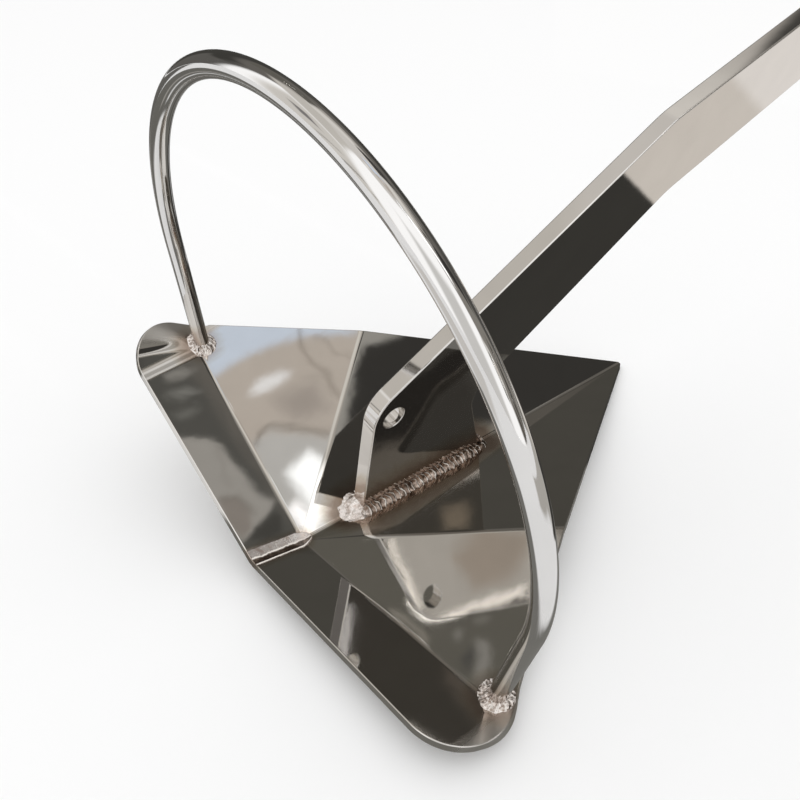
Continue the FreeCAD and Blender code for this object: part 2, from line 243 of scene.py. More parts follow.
def flap_plane(a, b):
    """Plan gradient, height at the origin and bend direction of a corner flap."""
    along = unit(np.array([b[0] - a[0], b[1] - a[1]]))
    out = np.array([-along[1], along[0]])
    if out[1] < 0:
        out = -out
    g = (HEEL_G[0] + FLAP_RISE * out[0], HEEL_G[1] + FLAP_RISE * out[1])
    return g, HEEL_G[0] * (a[0] + CREASE_L) + HEEL_G[1] * a[1] - g[0] * a[0] - g[1] * a[1], along


FLAPS = {1: FLAP_PORT + flap_plane(*FLAP_PORT), -1: FLAP_STARBOARD + flap_plane(*FLAP_STARBOARD)}


def soft_abs(y, w):
    a = np.abs(y)
    return np.where(a < w, y * y / (2 * w) + w / 2, a), np.where(a < w, y / w, np.sign(y))


def blend_z(a, b, h, sign):
    """Smooth maximum (sign 1) or minimum (sign -1) of two surfaces with gradients."""
    za, ga, zb, gb = a[0], a[1], b[0], b[1]
    d = np.clip((za - zb) / h, -1, 1)
    wa = 0.5 + 0.5 * sign * d
    z = np.where(np.abs(za - zb) < h, (za + zb) / 2 + sign * (d * d + 1) * h / 4,
                 np.maximum(za, zb) if sign > 0 else np.minimum(za, zb))
    return z, ga * wa[..., None] + gb * (1 - wa)[..., None]


def sheet_top(x, y, rear_g=(REAR_G, REAR_G)):
    """Height and plan gradient of the fluke's upper face."""
    x, y = np.asarray(x, float), np.asarray(y, float)
    a1, d1 = soft_abs(y, W_CREASE)
    a2, d2 = soft_abs(y, W_SEAM)
    a3, d3 = np.abs(y), np.sign(y)
    one = np.ones_like(x)
    front = (FRONT_SLOPE * a1, np.stack([0 * one, FRONT_SLOPE * d1], -1))
    rx_, ry_ = [np.where(y < 0, rear_g[1][k], rear_g[0][k]) for k in (0, 1)]
    rear = (REAR_G[0] * (x + CREASE_L) + REAR_G[1] * a1, np.stack([rx_ * one, ry_ * d1], -1))
    heel = (HEEL_G[0] * (x + CREASE_L) + HEEL_G[1] * a2, np.stack([HEEL_G[0] * one, HEEL_G[1] * d2], -1))
    port = y > 0
    gx = np.where(port, FLAPS[1][2][0], FLAPS[-1][2][0])
    gy = np.where(port, FLAPS[1][2][1], FLAPS[-1][2][1])
    z0 = np.where(port, FLAPS[1][3], FLAPS[-1][3])
    flap = (z0 + gx * x + gy * a3, np.stack([gx, gy * d3], -1))
    s = blend_z(front, rear, H_DIAG, -1)
    s = blend_z(s, heel, H_HEEL, 1)
    return blend_z(s, flap, H_FLAP, 1)


def sheet_point(x, y, depth=0.0):
    """Points of the sheet at a depth below its upper face, and the normals there."""
    z, g = sheet_top(x, y)
    n = unit(np.stack([-g[..., 0], -g[..., 1], np.ones_like(z)], -1))
    return np.stack([x, y, z], -1) - n * depth, n


def sheet_shine(x, y):
    """Normals for the shine of the upper face: the starboard rear facet is drawn in a
    little by the heat of the welds, which turns its mirror image."""
    g = sheet_top(x, y, (REAR_G, REAR_PULL))[1]
    return unit(np.stack([-g[..., 0], -g[..., 1], np.ones(g.shape[:-1])], -1))


# hoop axis ---------------------------------------------------------------
tilt_u = np.array([math.sin(BAR_TILT), 0, math.cos(BAR_TILT)])
bar_base = np.array([BAR_BASE[0], 0, BAR_BASE[2]])
side_c = BAR_LEG_Y - BOW_SIDE_R
crown_r = (side_c ** 2 + BAR_CROWN ** 2 - BOW_SIDE_R ** 2) / (2 * (BAR_CROWN - BOW_SIDE_R))
crown_c = BAR_CROWN - crown_r
t_join = math.atan2(-crown_c, side_c)
lean = math.atan2(BAR_LEG_Y - BAR_BASE[1], BAR_LEG)


def hoop_pt(y, s):
    return bar_base + tilt_u * s + np.array([0, y, 0])


leg_dir = unit(tilt_u * math.cos(lean) + np.array([0, math.sin(lean), 0]))
p_leg = hoop_pt(side_c + BOW_SIDE_R * math.cos(-lean), BAR_LEG + BOW_SIDE_R * math.sin(-lean))
s_leg = BAR_LEG - BOW_SIDE_R * math.sin(lean)
foot_p = p_leg - leg_dir * ((s_leg - BAR_FOOT) / math.cos(lean))


def hoop_path():
    """Axis points of the port half from foot to crown with unit tangents."""
    pts, tan = [], []
    n = 40
    for i in range(n):
        pts.append(foot_p + (p_leg - foot_p) * i / n)
        tan.append(leg_dir)
    k = 70
    for i in range(k):
        a = -lean + (t_join + lean) * i / k
        pts.append(hoop_pt(side_c + BOW_SIDE_R * math.cos(a), BAR_LEG + BOW_SIDE_R * math.sin(a)))
        tan.append(np.array([0, -math.sin(a), 0]) + tilt_u * math.cos(a))
    k = 40
    for i in range(k + 1):
        a = t_join + (math.pi / 2 - t_join) * i / k
        pts.append(hoop_pt(crown_r * math.cos(a), BAR_LEG + crown_c + crown_r * math.sin(a)))
        tan.append(np.array([0, -math.sin(a), 0]) + tilt_u * math.cos(a))
    return np.array(pts), unit(np.array(tan))


def drop(q, ax, depth=0.0):
    """How far points must slide along an axis to meet the sheet at a depth."""
    lo, hi = np.full(len(q), -25.0), np.full(len(q), 45.0)
    for _ in range(32):
        s = (lo + hi) / 2
        r = q + ax * s[:, None]
        x, y = r[:, 0].copy(), r[:, 1].copy()
        for _ in range(4 if depth else 0):
            p, n = sheet_point(x, y, depth)
            x, y = x + (r[:, 0] - p[:, 0]), y + (r[:, 1] - p[:, 1])
        p, n = sheet_point(x, y, depth)
        above = r[:, 2] > p[:, 2]
        hi, lo = np.where(above, s, hi), np.where(above, lo, s)
    return s, np.stack([x, y], -1)


def bar_hole(side, depth, count=56):
    """Plan loop of the hole that the hoop leg makes in the sheet at a depth."""
    ax = leg_dir * np.array([1, side, 1])
    p0 = foot_p * np.array([1, side, 1])
    e1 = unit(np.cross(ax, [1.0, 0, 0]))
    e2 = np.cross(ax, e1)
    t = np.arange(count) * 2 * math.pi / count
    q = p0 + (e1 * np.cos(t)[:, None] + e2 * np.sin(t)[:, None]) * BAR_R
    return drop(q, ax, depth)[1]


def heel_corner(outline):
    """Where the two straight edges beside a round heel corner would meet."""
    (cx, cy), r, knee = outline
    p = np.array(knee or SHOULDER)
    q = np.array([HEEL_X, 0.0])
    t1 = math.atan2(p[1] - cy, p[0] - cx) + math.acos(r / math.hypot(p[0] - cx, p[1] - cy))
    t2 = math.atan2(q[1] - cy, q[0] - cx) - math.acos(r / math.hypot(q[0] - cx, q[1] - cy))
    d1 = np.array([cx + r * math.cos(t1), cy + r * math.sin(t1)]) - p
    d2 = np.array([cx + r * math.cos(t2), cy + r * math.sin(t2)]) - q
    k = np.linalg.solve(np.array([d1, -d2]).T, q - p)
    return p + d1 * k[0]


def fluke_outline(step):
    tip_y = 3.0 * SHOULDER[1] / -SHOULDER[0]
    port, star = heel_corner(OUTLINE_PORT), heel_corner(OUTLINE_STARBOARD)
    pts = [(-3.0, -tip_y), (-3.0, tip_y), SHOULDER, OUTLINE_PORT[2], port, (HEEL_X, 0.0),
           (star[0], -star[1]), (SHOULDER[0], -SHOULDER[1])]
    return rounded_polygon(pts, [1.3, 1.3, 2.5, 4.0, OUTLINE_PORT[1], 4.0, OUTLINE_STARBOARD[1], 2.5], step)


def fold_points():
    """Rows of points along every bend, close together across it."""
    rows = []

    def add(a, b, half, n=4, step=2.6):
        a, b = np.array(a, float), np.array(b, float)
        d = b - a
        length = np.linalg.norm(d)
        d /= length
        m = np.array([-d[1], d[0]])
        k = int(length / step)
        for i in range(k + 1):
            for j in range(-n, n + 1):
                rows.append(a + d * (length * i / k) + m * (half * 1.03 * j / n))

    def cross_line(p, q):
        g = np.array([p[0] - q[0], p[1] - q[1]])
        return unit(np.array([-g[1], g[0]])), np.linalg.norm(g)

    p2 = np.array([-CREASE_L, 0.0])
    d, g = cross_line((0, FRONT_SLOPE), REAR_G)
    d = d if d[1] > 0 else -d
    diag_end = p2 + d * ((SHOULDER[1] + 6) / d[1])
    w_diag = H_DIAG / g
    d, g = cross_line(REAR_G, HEEL_G)
    d = d if d[1] > 0 else -d
    heel_end = p2 + d * ((FLAP_PORT[0][1] + 4) / d[1])
    w_heel = H_HEEL / g
    w_flap = H_FLAP / FLAP_RISE
    for side in (1, -1):
        s = np.array([1, side])
        a, b, flap_g, _, along = FLAPS[side]
        a, b = np.array(a), np.array(b)
        d, g = cross_line(REAR_G, flap_g)
        d = d if d[0] > 0 else -d
        ff_end = a + d * 34
        w_ff = H_FLAP / g
        add(p2 * s, diag_end * s, w_diag)
        add(p2 * s, heel_end * s, w_heel)
        add((a - along * 8) * s, (b + along * 12) * s, w_flap, 6)
        add((a - d * 6) * s, ff_end * s, w_ff)
    add(p2, (0, 0), W_CREASE)
    add(p2, (HEEL_X - 4, 0), W_SEAM)
    return np.array(rows)


EDGE_R = 0.7


def make_fluke():
    b = Builder()
    loop = fluke_outline(1.3)
    if signed_area(loop) < 0:
        loop = loop[::-1]
    # 3D frame on the rim: normal n, tangent t, outward o
    tan = unit(np.roll(loop, -1, 0) - np.roll(loop, 1, 0))
    z, g = sheet_top(loop[:, 0], loop[:, 1])
    t3 = unit(np.stack([tan[:, 0], tan[:, 1], (g * tan).sum(1)], -1))
    n3 = unit(np.stack([-g[:, 0], -g[:, 1], np.ones(len(loop))], -1))
    o3 = unit(np.cross(t3, n3))
    inner = (np.stack([loop[:, 0], loop[:, 1], z], -1) - o3 * EDGE_R)[:, :2]
    grid = []
    s = 9.0
    for i, y in enumerate(np.arange(-205, 206, s * 0.866)):
        for x in np.arange(-450, 0, s):
            grid.append((x + (s / 2 if i % 2 else 0), y))
    grid = np.array(grid)
    rows = fold_points()
    # drop grid points that fall close to the bend rows
    far = np.ones(len(grid), bool)
    for k in range(0, len(rows), 400):
        dd = np.linalg.norm(grid[:, None] - rows[None, k:k + 400], axis=2)
        far &= (dd > 3.2).all(1)
    extra = np.vstack([grid[far], rows])

    def keep_inside(p, holes):
        m = inside(inner, p)
        for k in range(0, len(inner), 300):
            m &= (np.linalg.norm(p[:, None] - inner[None, k:k + 300], axis=2) > 0.55).all(1)
        for h in holes:
            c = h.mean(0)
            m &= np.linalg.norm(p - c, axis=1) > np.linalg.norm(h - c, axis=1).max() + 0.4
        return p[m]

    rims = []
    for depth, flip in ((0.0, False), (PLATE_T, True)):
        holes = [bar_hole(1, depth), bar_hole(-1, depth)]
        v, tri, loops = triangulate(inner, holes, keep_inside(extra, holes))
        p, n = sheet_point(v[:, 0], v[:, 1], depth)
        idx = b.add(p, -n if flip else sheet_shine(v[:, 0], v[:, 1]))
        for t in tri:
            t = idx[t]
            b.f.append(tuple(t[::-1]) if flip else tuple(t))
        rims.append([idx[np.array(l)] for l in loops])
    # rim: rounded upper arris, wall, rounded lower arris
    zi, gi = sheet_top(inner[:, 0], inner[:, 1])
    ni = unit(np.stack([-gi[:, 0], -gi[:, 1], np.ones(len(inner))], -1))
    oi = unit(o3 - ni * (o3 * ni).sum(1, keepdims=True))
    q = np.stack([inner[:, 0], inner[:, 1], zi], -1)
    rows_i = [rims[0][0]]
    k = 5
    for j in range(1, k + 1):
        f = math.pi / 2 * j / k
        rows_i.append(b.add(q + oi * EDGE_R * math.sin(f) - ni * EDGE_R * (1 - math.cos(f)),
                            oi * math.sin(f) + ni * math.cos(f)))
    for j in range(0, k):
        f = math.pi / 2 * j / k
        rows_i.append(b.add(q + oi * EDGE_R * math.cos(f) - ni * (PLATE_T - EDGE_R + EDGE_R * math.sin(f)),
                            oi * math.cos(f) - ni * math.sin(f)))
    rows_i.append(rims[1][0])
    for a, c in zip(rows_i[:-1], rows_i[1:]):
        b.band(c, a)
    # hole walls
    for i, side in ((1, 1), (2, -1)):
        top, bot = rims[0][i], rims[1][i]
        ax = leg_dir * np.array([1, side, 1])
        c = foot_p * np.array([1, side, 1])
        vv = np.vstack(b.v)
        pt, pb = vv[top], vv[bot]

        def rad(p):
            r = p - c
            return -unit(r - (r @ ax)[:, None] * ax)

        a1, a2 = b.add(pt, rad(pt)), b.add(pb, rad(pb))
        b.band(a1, a2)
    return b.make("fluke_sheet")


# ------------------------------------------------------------------ hoop
def sweep(name, axis, tangent, radius, seg, cap):
    """Round bar along an axis; the axis lies in one plane, so the frame doesn't twist."""
    b = Builder()
    plane_n = unit(np.cross(tilt_u, [0, 1.0, 0]))
    rows = []
    for p, t in zip(axis, tangent):
        e1 = plane_n
        e2 = np.cross(t, e1)
        ang = np.arange(seg) * 2 * math.pi / seg
        r = np.cos(ang)[:, None] * e1 + np.sin(ang)[:, None] * e2
        rows.append(b.add(p + r * radius, r))
    for a, c in zip(rows[:-1], rows[1:]):
        b.band(a, c)
    if cap:
        for row, p, t, flip in ((rows[0], axis[0], -tangent[0], True), (rows[-1], axis[-1], tangent[-1], False)):
            pts = np.vstack(b.v)[row]
            rim = b.add(pts, np.repeat(t[None], seg, 0))
            mid = b.add([p], [t])[0]
            for i in range(seg):
                j = (i + 1) % seg
                b.f.append((mid, rim[j], rim[i]) if not flip else (mid, rim[i], rim[j]))
    return b.make(name)


def make_hoop():
    p, t = hoop_path()
    q = p[:-1][::-1] * np.array([1, -1, 1])
    tq = t[:-1][::-1] * np.array([-1, 1, -1])
    axis, tan = np.vstack([p, q]), np.vstack([t, tq])
    return sweep("hoop_bar", axis, tan, BAR_R, 48, True)


# ------------------------------------------------------------------ shank
def tangent_from(p, c, r, upper):
    dx, dz = c[0] - p[0], c[1] - p[1]
    d = math.hypot(dx, dz)
    bb = math.atan2(p[1] - c[1], p[0] - c[0])
    a = math.acos(r / d)
    t = bb - a if upper else bb + a
    return (c[0] + r * math.cos(t), c[1] + r * math.sin(t))


def make_shank():
    """Plate on edge: flat sides, rounded arrises, two bores with broken edges."""
    b = Builder()
    foot_z = FRONT_SLOPE * SHANK_T / 2
    up_t = tangent_from(SHANK_TOP_BEND, EYE_C, NOSE_R, True)
    lo_t = tangent_from(SHANK_LOW_BEND, EYE_C, NOSE_R, False)
    # far corner of the nose tangents
    d1 = np.array(up_t) - np.array(SHANK_TOP_BEND)
    d2 = np.array(lo_t) - np.array(SHANK_LOW_BEND)
    m = np.linalg.solve(np.array([d1, -d2]).T, np.array(SHANK_LOW_BEND) - np.array(SHANK_TOP_BEND))
    far = np.array(SHANK_TOP_BEND) + d1 * m[0]
    nose_far = None
    dirx = unit(unit(d1) + unit(d2))
    end = np.array(EYE_C) + dirx * NOSE_R
    # two corners that share the nose circle: cut the far corner by the line square to the axis at its end
    w = np.array([-dirx[1], dirx[0]])

    def meet(p, d):
        k = np.linalg.solve(np.array([d, -w]).T, end - p)
        return p + d * k[0]

    c_up, c_lo = meet(np.array(SHANK_TOP_BEND), d1), meet(np.array(SHANK_LOW_BEND), d2)
    rf = np.array([SHANK_REAR_FOOT[0] + (foot_z / 119.4) * (SHANK_REAR_BEND[0] - SHANK_REAR_FOOT[0]), foot_z])
    ff = np.array([SHANK_FRONT_FOOT[0] + (foot_z / 87.4) * (SHANK_THROAT[0] - SHANK_FRONT_FOOT[0]), foot_z])
    pts = [rf, SHANK_REAR_BEND, SHANK_TOP_BEND, c_up, c_lo, SHANK_LOW_BEND, SHANK_THROAT, ff]
    rad = [0.05, R_REAR_BEND, R_FAR_BEND, NOSE_R * 0.9995, NOSE_R * 0.9995, R_FAR_BEND, R_THROAT, 0.05]
    loop = rounded_polygon(pts, rad, 3.0)
    if signed_area(loop) < 0:
        loop = loop[::-1]
    tan = unit(np.roll(loop, -1, 0) - np.roll(loop, 1, 0))
    out = np.stack([tan[:, 1], -tan[:, 0]], -1)
    inner = loop - out * ARRIS
    inner = inner[np.r_[True, np.linalg.norm(np.diff(inner, axis=0), axis=1) > 1e-4]]
    if len(inner) != len(loop):
        keep = np.r_[True, np.linalg.norm(np.diff(loop - out * ARRIS, axis=0), axis=1) > 1e-4]
        loop, out = loop[keep], out[keep]

    def hole(c, r, n=72):
        a = np.arange(n) * 2 * math.pi / n
        return np.stack([c[0] + r * np.cos(a), c[1] + r * np.sin(a)], -1)

    br = 0.6
    holes = [hole(EYE_C, EYE_R + br), hole(TRIP_C, TRIP_R + br)]
    grid = np.array([(x, z) for x in np.arange(-356, 246, 14.0) for z in np.arange(4, 428, 14.0)])
    m = inside(inner, grid)
    for k in range(0, len(inner), 300):
        m &= (np.linalg.norm(grid[:, None] - inner[None, k:k + 300], axis=2) > 4).all(1)
    for c, r in ((EYE_C, EYE_R), (TRIP_C, TRIP_R)):
        m &= np.linalg.norm(grid - np.array(c), axis=1) > r + 4
    v, tri, loops = triangulate(inner, holes, grid[m])
    h = SHANK_T / 2
    side_rows, side_holes = [], []
    for s in (1, -1):
        p = np.stack([v[:, 0], np.full(len(v), s * h), v[:, 1]], -1)
        idx = b.add(p, np.repeat([[0, s, 0]], len(v), 0))
        for t in tri:
            t = idx[t]
            b.f.append(tuple(t[::-1]) if s > 0 else tuple(t))
        side_rows.append(idx[np.array(loops[0])])
        side_holes.append([idx[np.array(l)] for l in loops[1:]])
    # arris and edge face, port to starboard
    rows = [side_rows[0]]
    k = 5
    o3 = np.stack([out[:, 0], np.zeros(len(out)), out[:, 1]], -1)
    base = np.stack([inner[:, 0], np.zeros(len(inner)), inner[:, 1]], -1)
    yy = np.array([0.0, 1.0, 0.0])
    for s, seq in ((1, range(1, k + 1)), (-1, range(k, 0, -1))):
        for j in seq:
            f = math.pi / 2 * j / k
            rows.append(b.add(base + o3 * ARRIS * math.sin(f) + yy * s * (h - ARRIS * (1 - math.cos(f))),
                              o3 * math.sin(f) + yy * s * math.cos(f)))
    rows.append(side_rows[1])
    for a, c in zip(rows[:-1], rows[1:]):
        b.band(a, c)
    # bores
    for i, (c, r) in enumerate(((EYE_C, EYE_R), (TRIP_C, TRIP_R))):
        ring = hole(c, 1.0)
        d = ring - np.array(c)
        d3 = np.stack([d[:, 0], np.zeros(len(d)), d[:, 1]], -1)
        c3 = np.array([c[0], 0, c[1]])
        rows = [side_holes[0][i]]
        for s, seq in ((1, range(1, 5)), (-1, range(4, 0, -1))):
            for j in seq:
                f = math.pi / 2 * j / 4
                rows.append(b.add(c3 + d3 * (r + br * (1 - math.sin(f))) + yy * s * (h - br * (1 - math.cos(f))),
                                  -d3 * math.sin(f) + yy * s * math.cos(f)))
        rows.append(side_holes[1][i])
        for a, e in zip(rows[:-1], rows[1:]):
            b.band(e, a)
    return b.make("shank_plate")


# ------------------------------------------------------------------ welds
def wobble(x, y, z, scale, seed=0.0):
    return noise.noise(Vector((x * scale + seed, y * scale - seed * 0.7, z * scale + seed * 1.3)))


def grid_mesh(name, p, closed_u=False, close_ends=False):
    """Mesh from a grid of points p[u][v]; the last point of each row closes on nothing."""
    nu, nv = p.shape[:2]
    idx = np.arange(nu * nv).reshape(nu, nv)
    faces = []
    for i in range(nu if closed_u else nu - 1):
        j = (i + 1) % nu
        for k in range(nv - 1):
            faces.append((idx[i, k], idx[i, k + 1], idx[j, k + 1], idx[j, k]))
    return p.reshape(-1, 3), faces


def ripple(u):
    """Height of a weld ripple and how near its crest a point lies, for a phase u."""
    f = u - np.floor(u)
    h = np.clip(f / 0.16, 0, 1) ** 0.8 * (1 - np.clip((f - 0.16) / 0.84, 0, 1)) ** 0.75
    return h, np.exp(-((f - 0.15) / 0.085) ** 2)


def make_shank_weld():
    """Fillet all round the shank's foot, laid as overlapping ripples."""
    x_r, x_f = SHANK_REAR_FOOT[0] + 1.0, SHANK_FRONT_FOOT[0] - 2.0
    h = SHANK_T / 2
    path = []
    step = 0.42
    n = int((x_f - x_r) / step)
    for i in range(n + 1):
        path.append((x_f - (x_f - x_r) * i / n, -h, 0.0, -1.0))
    m = 60
    for i in range(1, m):
        a = math.pi * i / m
        path.append((x_r - h * math.sin(a), -h * math.cos(a), -math.sin(a), -math.cos(a)))
    for i in range(n + 1):
        path.append((x_r + (x_f - x_r) * i / n, h, 0.0, 1.0))
    for i in range(1, m):
        a = math.pi * i / m
        path.append((x_f + h * math.sin(a), h * math.cos(a), math.sin(a), math.cos(a)))
    path = np.array(path)
    nu, nv = len(path), 30
    x, y, ox, oy = path.T[:, :, None]
    t = (np.arange(nv) / (nv - 1))[None, :]
    w1 = np.array([[wobble(px, py, 0, 0.09, 3.1), wobble(px, py, 0, 0.11, 8.2), wobble(px, py, 0, 0.35, 2.2),
                    wobble(px, py, 0, 0.07, 9.3)] for px, py in path[:, :2]])
    fwd = np.clip((x - (x_f - 14)) / 14, 0, 1)
    back = np.clip((x_r + 3.0 - x) / (h + 3.0), 0, 1)
    top = 12.4 - 3.6 * fwd + 0.9 * w1[:, 0:1] + 1.2 * back
    out = 10.2 - 4.6 * fwd + 0.8 * w1[:, 1:2] + 0.6 * back
    a = t * math.pi / 2
    ease = np.clip(t * 2.4, 0, 1) ** 1.5
    x = np.where(x < -347.9, -347.9 + (x + 347.9) * ease, x)
    oo = out * ((1 - np.cos(a)) * 0.9 + t * 0.1)
    zz = top * ((1 - np.sin(a)) * 0.9 + (1 - t) * 0.1)
    bx, by = x + ox * oo, y + oy * oo
    z = sheet_top(bx, by)[0] * t + zz
    z[:, -1] -= 0.4
    env = np.sin(math.pi * np.clip(t * 0.94 + 0.03, 0, 1)) ** 0.6
    lumps = np.array([[wobble(bx[i, k], by[i, k], z[i, k], 0.22, 4.4), wobble(bx[i, k], by[i, k], z[i, k], 0.5, 6.6),
                       wobble(bx[i, k], by[i, k], z[i, k], 0.17, 1.7)] for i in range(nu) for k in range(nv)]).reshape(nu, nv, 3)
    toward = np.where(oy < 0, x_f - x, x - x_r) / 4.9
    bend = np.where(oy < 0, -1.0, 1.0) * 0.95 * (2 * t - 1) ** 2
    u = toward + bend + 0.42 * lumps[:, :, 2] + 0.25 * w1[:, 2:3]
    rip, crest = ripple(u)
    side = np.clip(1 - back * 1.6, 0, 1)
    d = 1.3 * rip * env * side * (0.85 + 0.5 * w1[:, 3:4])
    d = d + (1.3 * back + 0.55) * env * (lumps[:, :, 0] + 0.6 * lumps[:, :, 1]) + 0.5 * env
    nx, nz = np.sin(a) * 0.55 + 0.35, np.cos(a) * 0.3 + 0.55
    ln = np.hypot(nx, nz)
    pts = np.stack([bx + ox * d * nx / ln, by + oy * d * nx / ln, z + d * nz / ln], -1)
    v, f = grid_mesh("shank_weld", pts, closed_u=True)
    # crest: nearness to a ripple crest, which the weld material paints pale, partly as a painted highlight
    crest = (crest * env * side).ravel()
    pale = (np.clip(back * 1.4, 0, 1) * (0.75 + 0.5 * lumps[:, :, 0]) + 0 * t).ravel()
    return close_below(v, f, pts, "shank_bead", lambda p: sheet_top(p[:, 0], p[:, 1])[0] - 0.8,
                       {"crest": crest, "pale": pale})


def close_below(v, f, pts, name, floor_z, attrs):
    """Closes an open ring strip: down from the outer toe, under, and up to the inner toe."""
    nu, nv = pts.shape[:2]
    idx = np.arange(nu * nv).reshape(nu, nv)
    outer, inner = pts[:, -1].copy(), pts[:, 0].copy()
    low_o, low_i = outer.copy(), inner.copy()
    low_o[:, 2] = floor_z(outer)
    low_i[:, 2] = floor_z(inner)
    base = len(v)
    v = np.vstack([v, low_o, low_i])
    lo, li = base + np.arange(nu), base + nu + np.arange(nu)
    for i in range(nu):
        j = (i + 1) % nu
        f.append((idx[i, -1], lo[i], lo[j], idx[j, -1]))
        f.append((lo[i], li[i], li[j], lo[j]))
        f.append((li[i], idx[i, 0], idx[j, 0], li[j]))
    f = [tuple(reversed(q)) for q in f]
    attrs = {k: np.r_[a, np.zeros(2 * nu)] for k, a in attrs.items()}
    return new_mesh(name, v, f, None, attrs)


def make_foot_weld(side):
    """Weld ring round a hoop leg where it passes through the heel corner."""
    ax = leg_dir * np.array([1, side, 1])
    p0 = foot_p * np.array([1, side, 1])
    e1 = unit(np.cross(ax, [1.0, 0, 0]))
    e2 = np.cross(ax, e1)
    nu, nv = 180, 24
    pts = np.zeros((nu, nv, 3))
    ang = 2 * math.pi * np.arange(nu) / nu
    ring = e1 * np.cos(ang)[:, None] + e2 * np.sin(ang)[:, None]
    reaches = np.array([11.4 + 1.1 * wobble(3 * math.cos(t), 3 * math.sin(t), 0, 0.8, 2.0 + side) for t in ang])
    # level of the sheet at the ring's outer toe and at the bar
    levels = (drop(p0 + ring * reaches[:, None], ax)[0], drop(p0 + ring * BAR_R, ax)[0])
    crest, pale = np.zeros((nu, nv)), np.zeros((nu, nv))
    for i in range(nu):
        t, r, reach = ang[i], ring[i], reaches[i]
        cx, cy = math.cos(t), math.sin(t)
        rise = 6.2 + 1.3 * wobble(3 * cx, 3 * cy, 0, 0.9, 5.0 + side)
        s_out, s_in = levels[0][i], levels[1][i]
        for k in range(nv):
            u = k / (nv - 1)
            a = u * math.pi / 2
            rr = BAR_R + 0.0 + (reach - BAR_R) * (0.85 * (1 - math.cos(a)) + 0.15 * u)
            ss = s_in + rise * (0.85 * (1 - math.sin(a)) + 0.15 * (1 - u)) + (s_out - s_in) * u
            env = math.sin(math.pi * u) ** 0.6
            big = wobble(5 * cx, 5 * cy, 3 * u, 0.7, 1.0 + side)
            small = wobble(9 * cx, 9 * cy, 5 * u, 1.0, 3.0 + side)
            ph = t / (2 * math.pi) * 13 + 0.7 * (2 * u - 1) ** 2 + 0.5 * wobble(4 * cx, 4 * cy, u, 1.0, 7.0)
            h, c = ripple(np.array(ph))
            d = env * (0.6 * float(h) + 0.55 + 1.2 * big + 0.5 * small)
            # crest: nearness to a ripple crest, which the weld material paints pale, partly as a painted highlight
            crest[i, k] = env * float(c)
            pale[i, k] = 0.52 + 0.9 * small + 0.5 * big
            rr += d * 0.75
            ss += d * 0.6
            if k == nv - 1:
                ss -= 0.35
            pts[i, k] = p0 + r * rr + ax * ss
    v, f = grid_mesh("w", pts, closed_u=True)
    idx = np.arange(nu * nv).reshape(nu, nv)
    outer, inner = pts[:, -1] - ax * 0.5, pts[:, 0] - ax * (0.5 + 6.4)
    base = len(v)
    v = np.vstack([v, outer, inner])
    lo_, li_ = base + np.arange(nu), base + nu + np.arange(nu)
    for i in range(nu):
        j = (i + 1) % nu
        f.append((idx[i, -1], lo_[i], lo_[j], idx[j, -1]))
        f.append((lo_[i], li_[i], li_[j], lo_[j]))
        f.append((li_[i], idx[i, 0], idx[j, 0], li_[j]))
    if side < 0:
        f = [tuple(reversed(q)) for q in f]
    f = [tuple(reversed(q)) for q in f]
    attrs = {"crest": np.r_[crest.ravel(), np.zeros(2 * nu)], "pale": np.r_[pale.ravel(), np.zeros(2 * nu)]}
    return new_mesh("hoop_bead_port" if side > 0 else "hoop_bead_starboard", v, f, None, attrs)


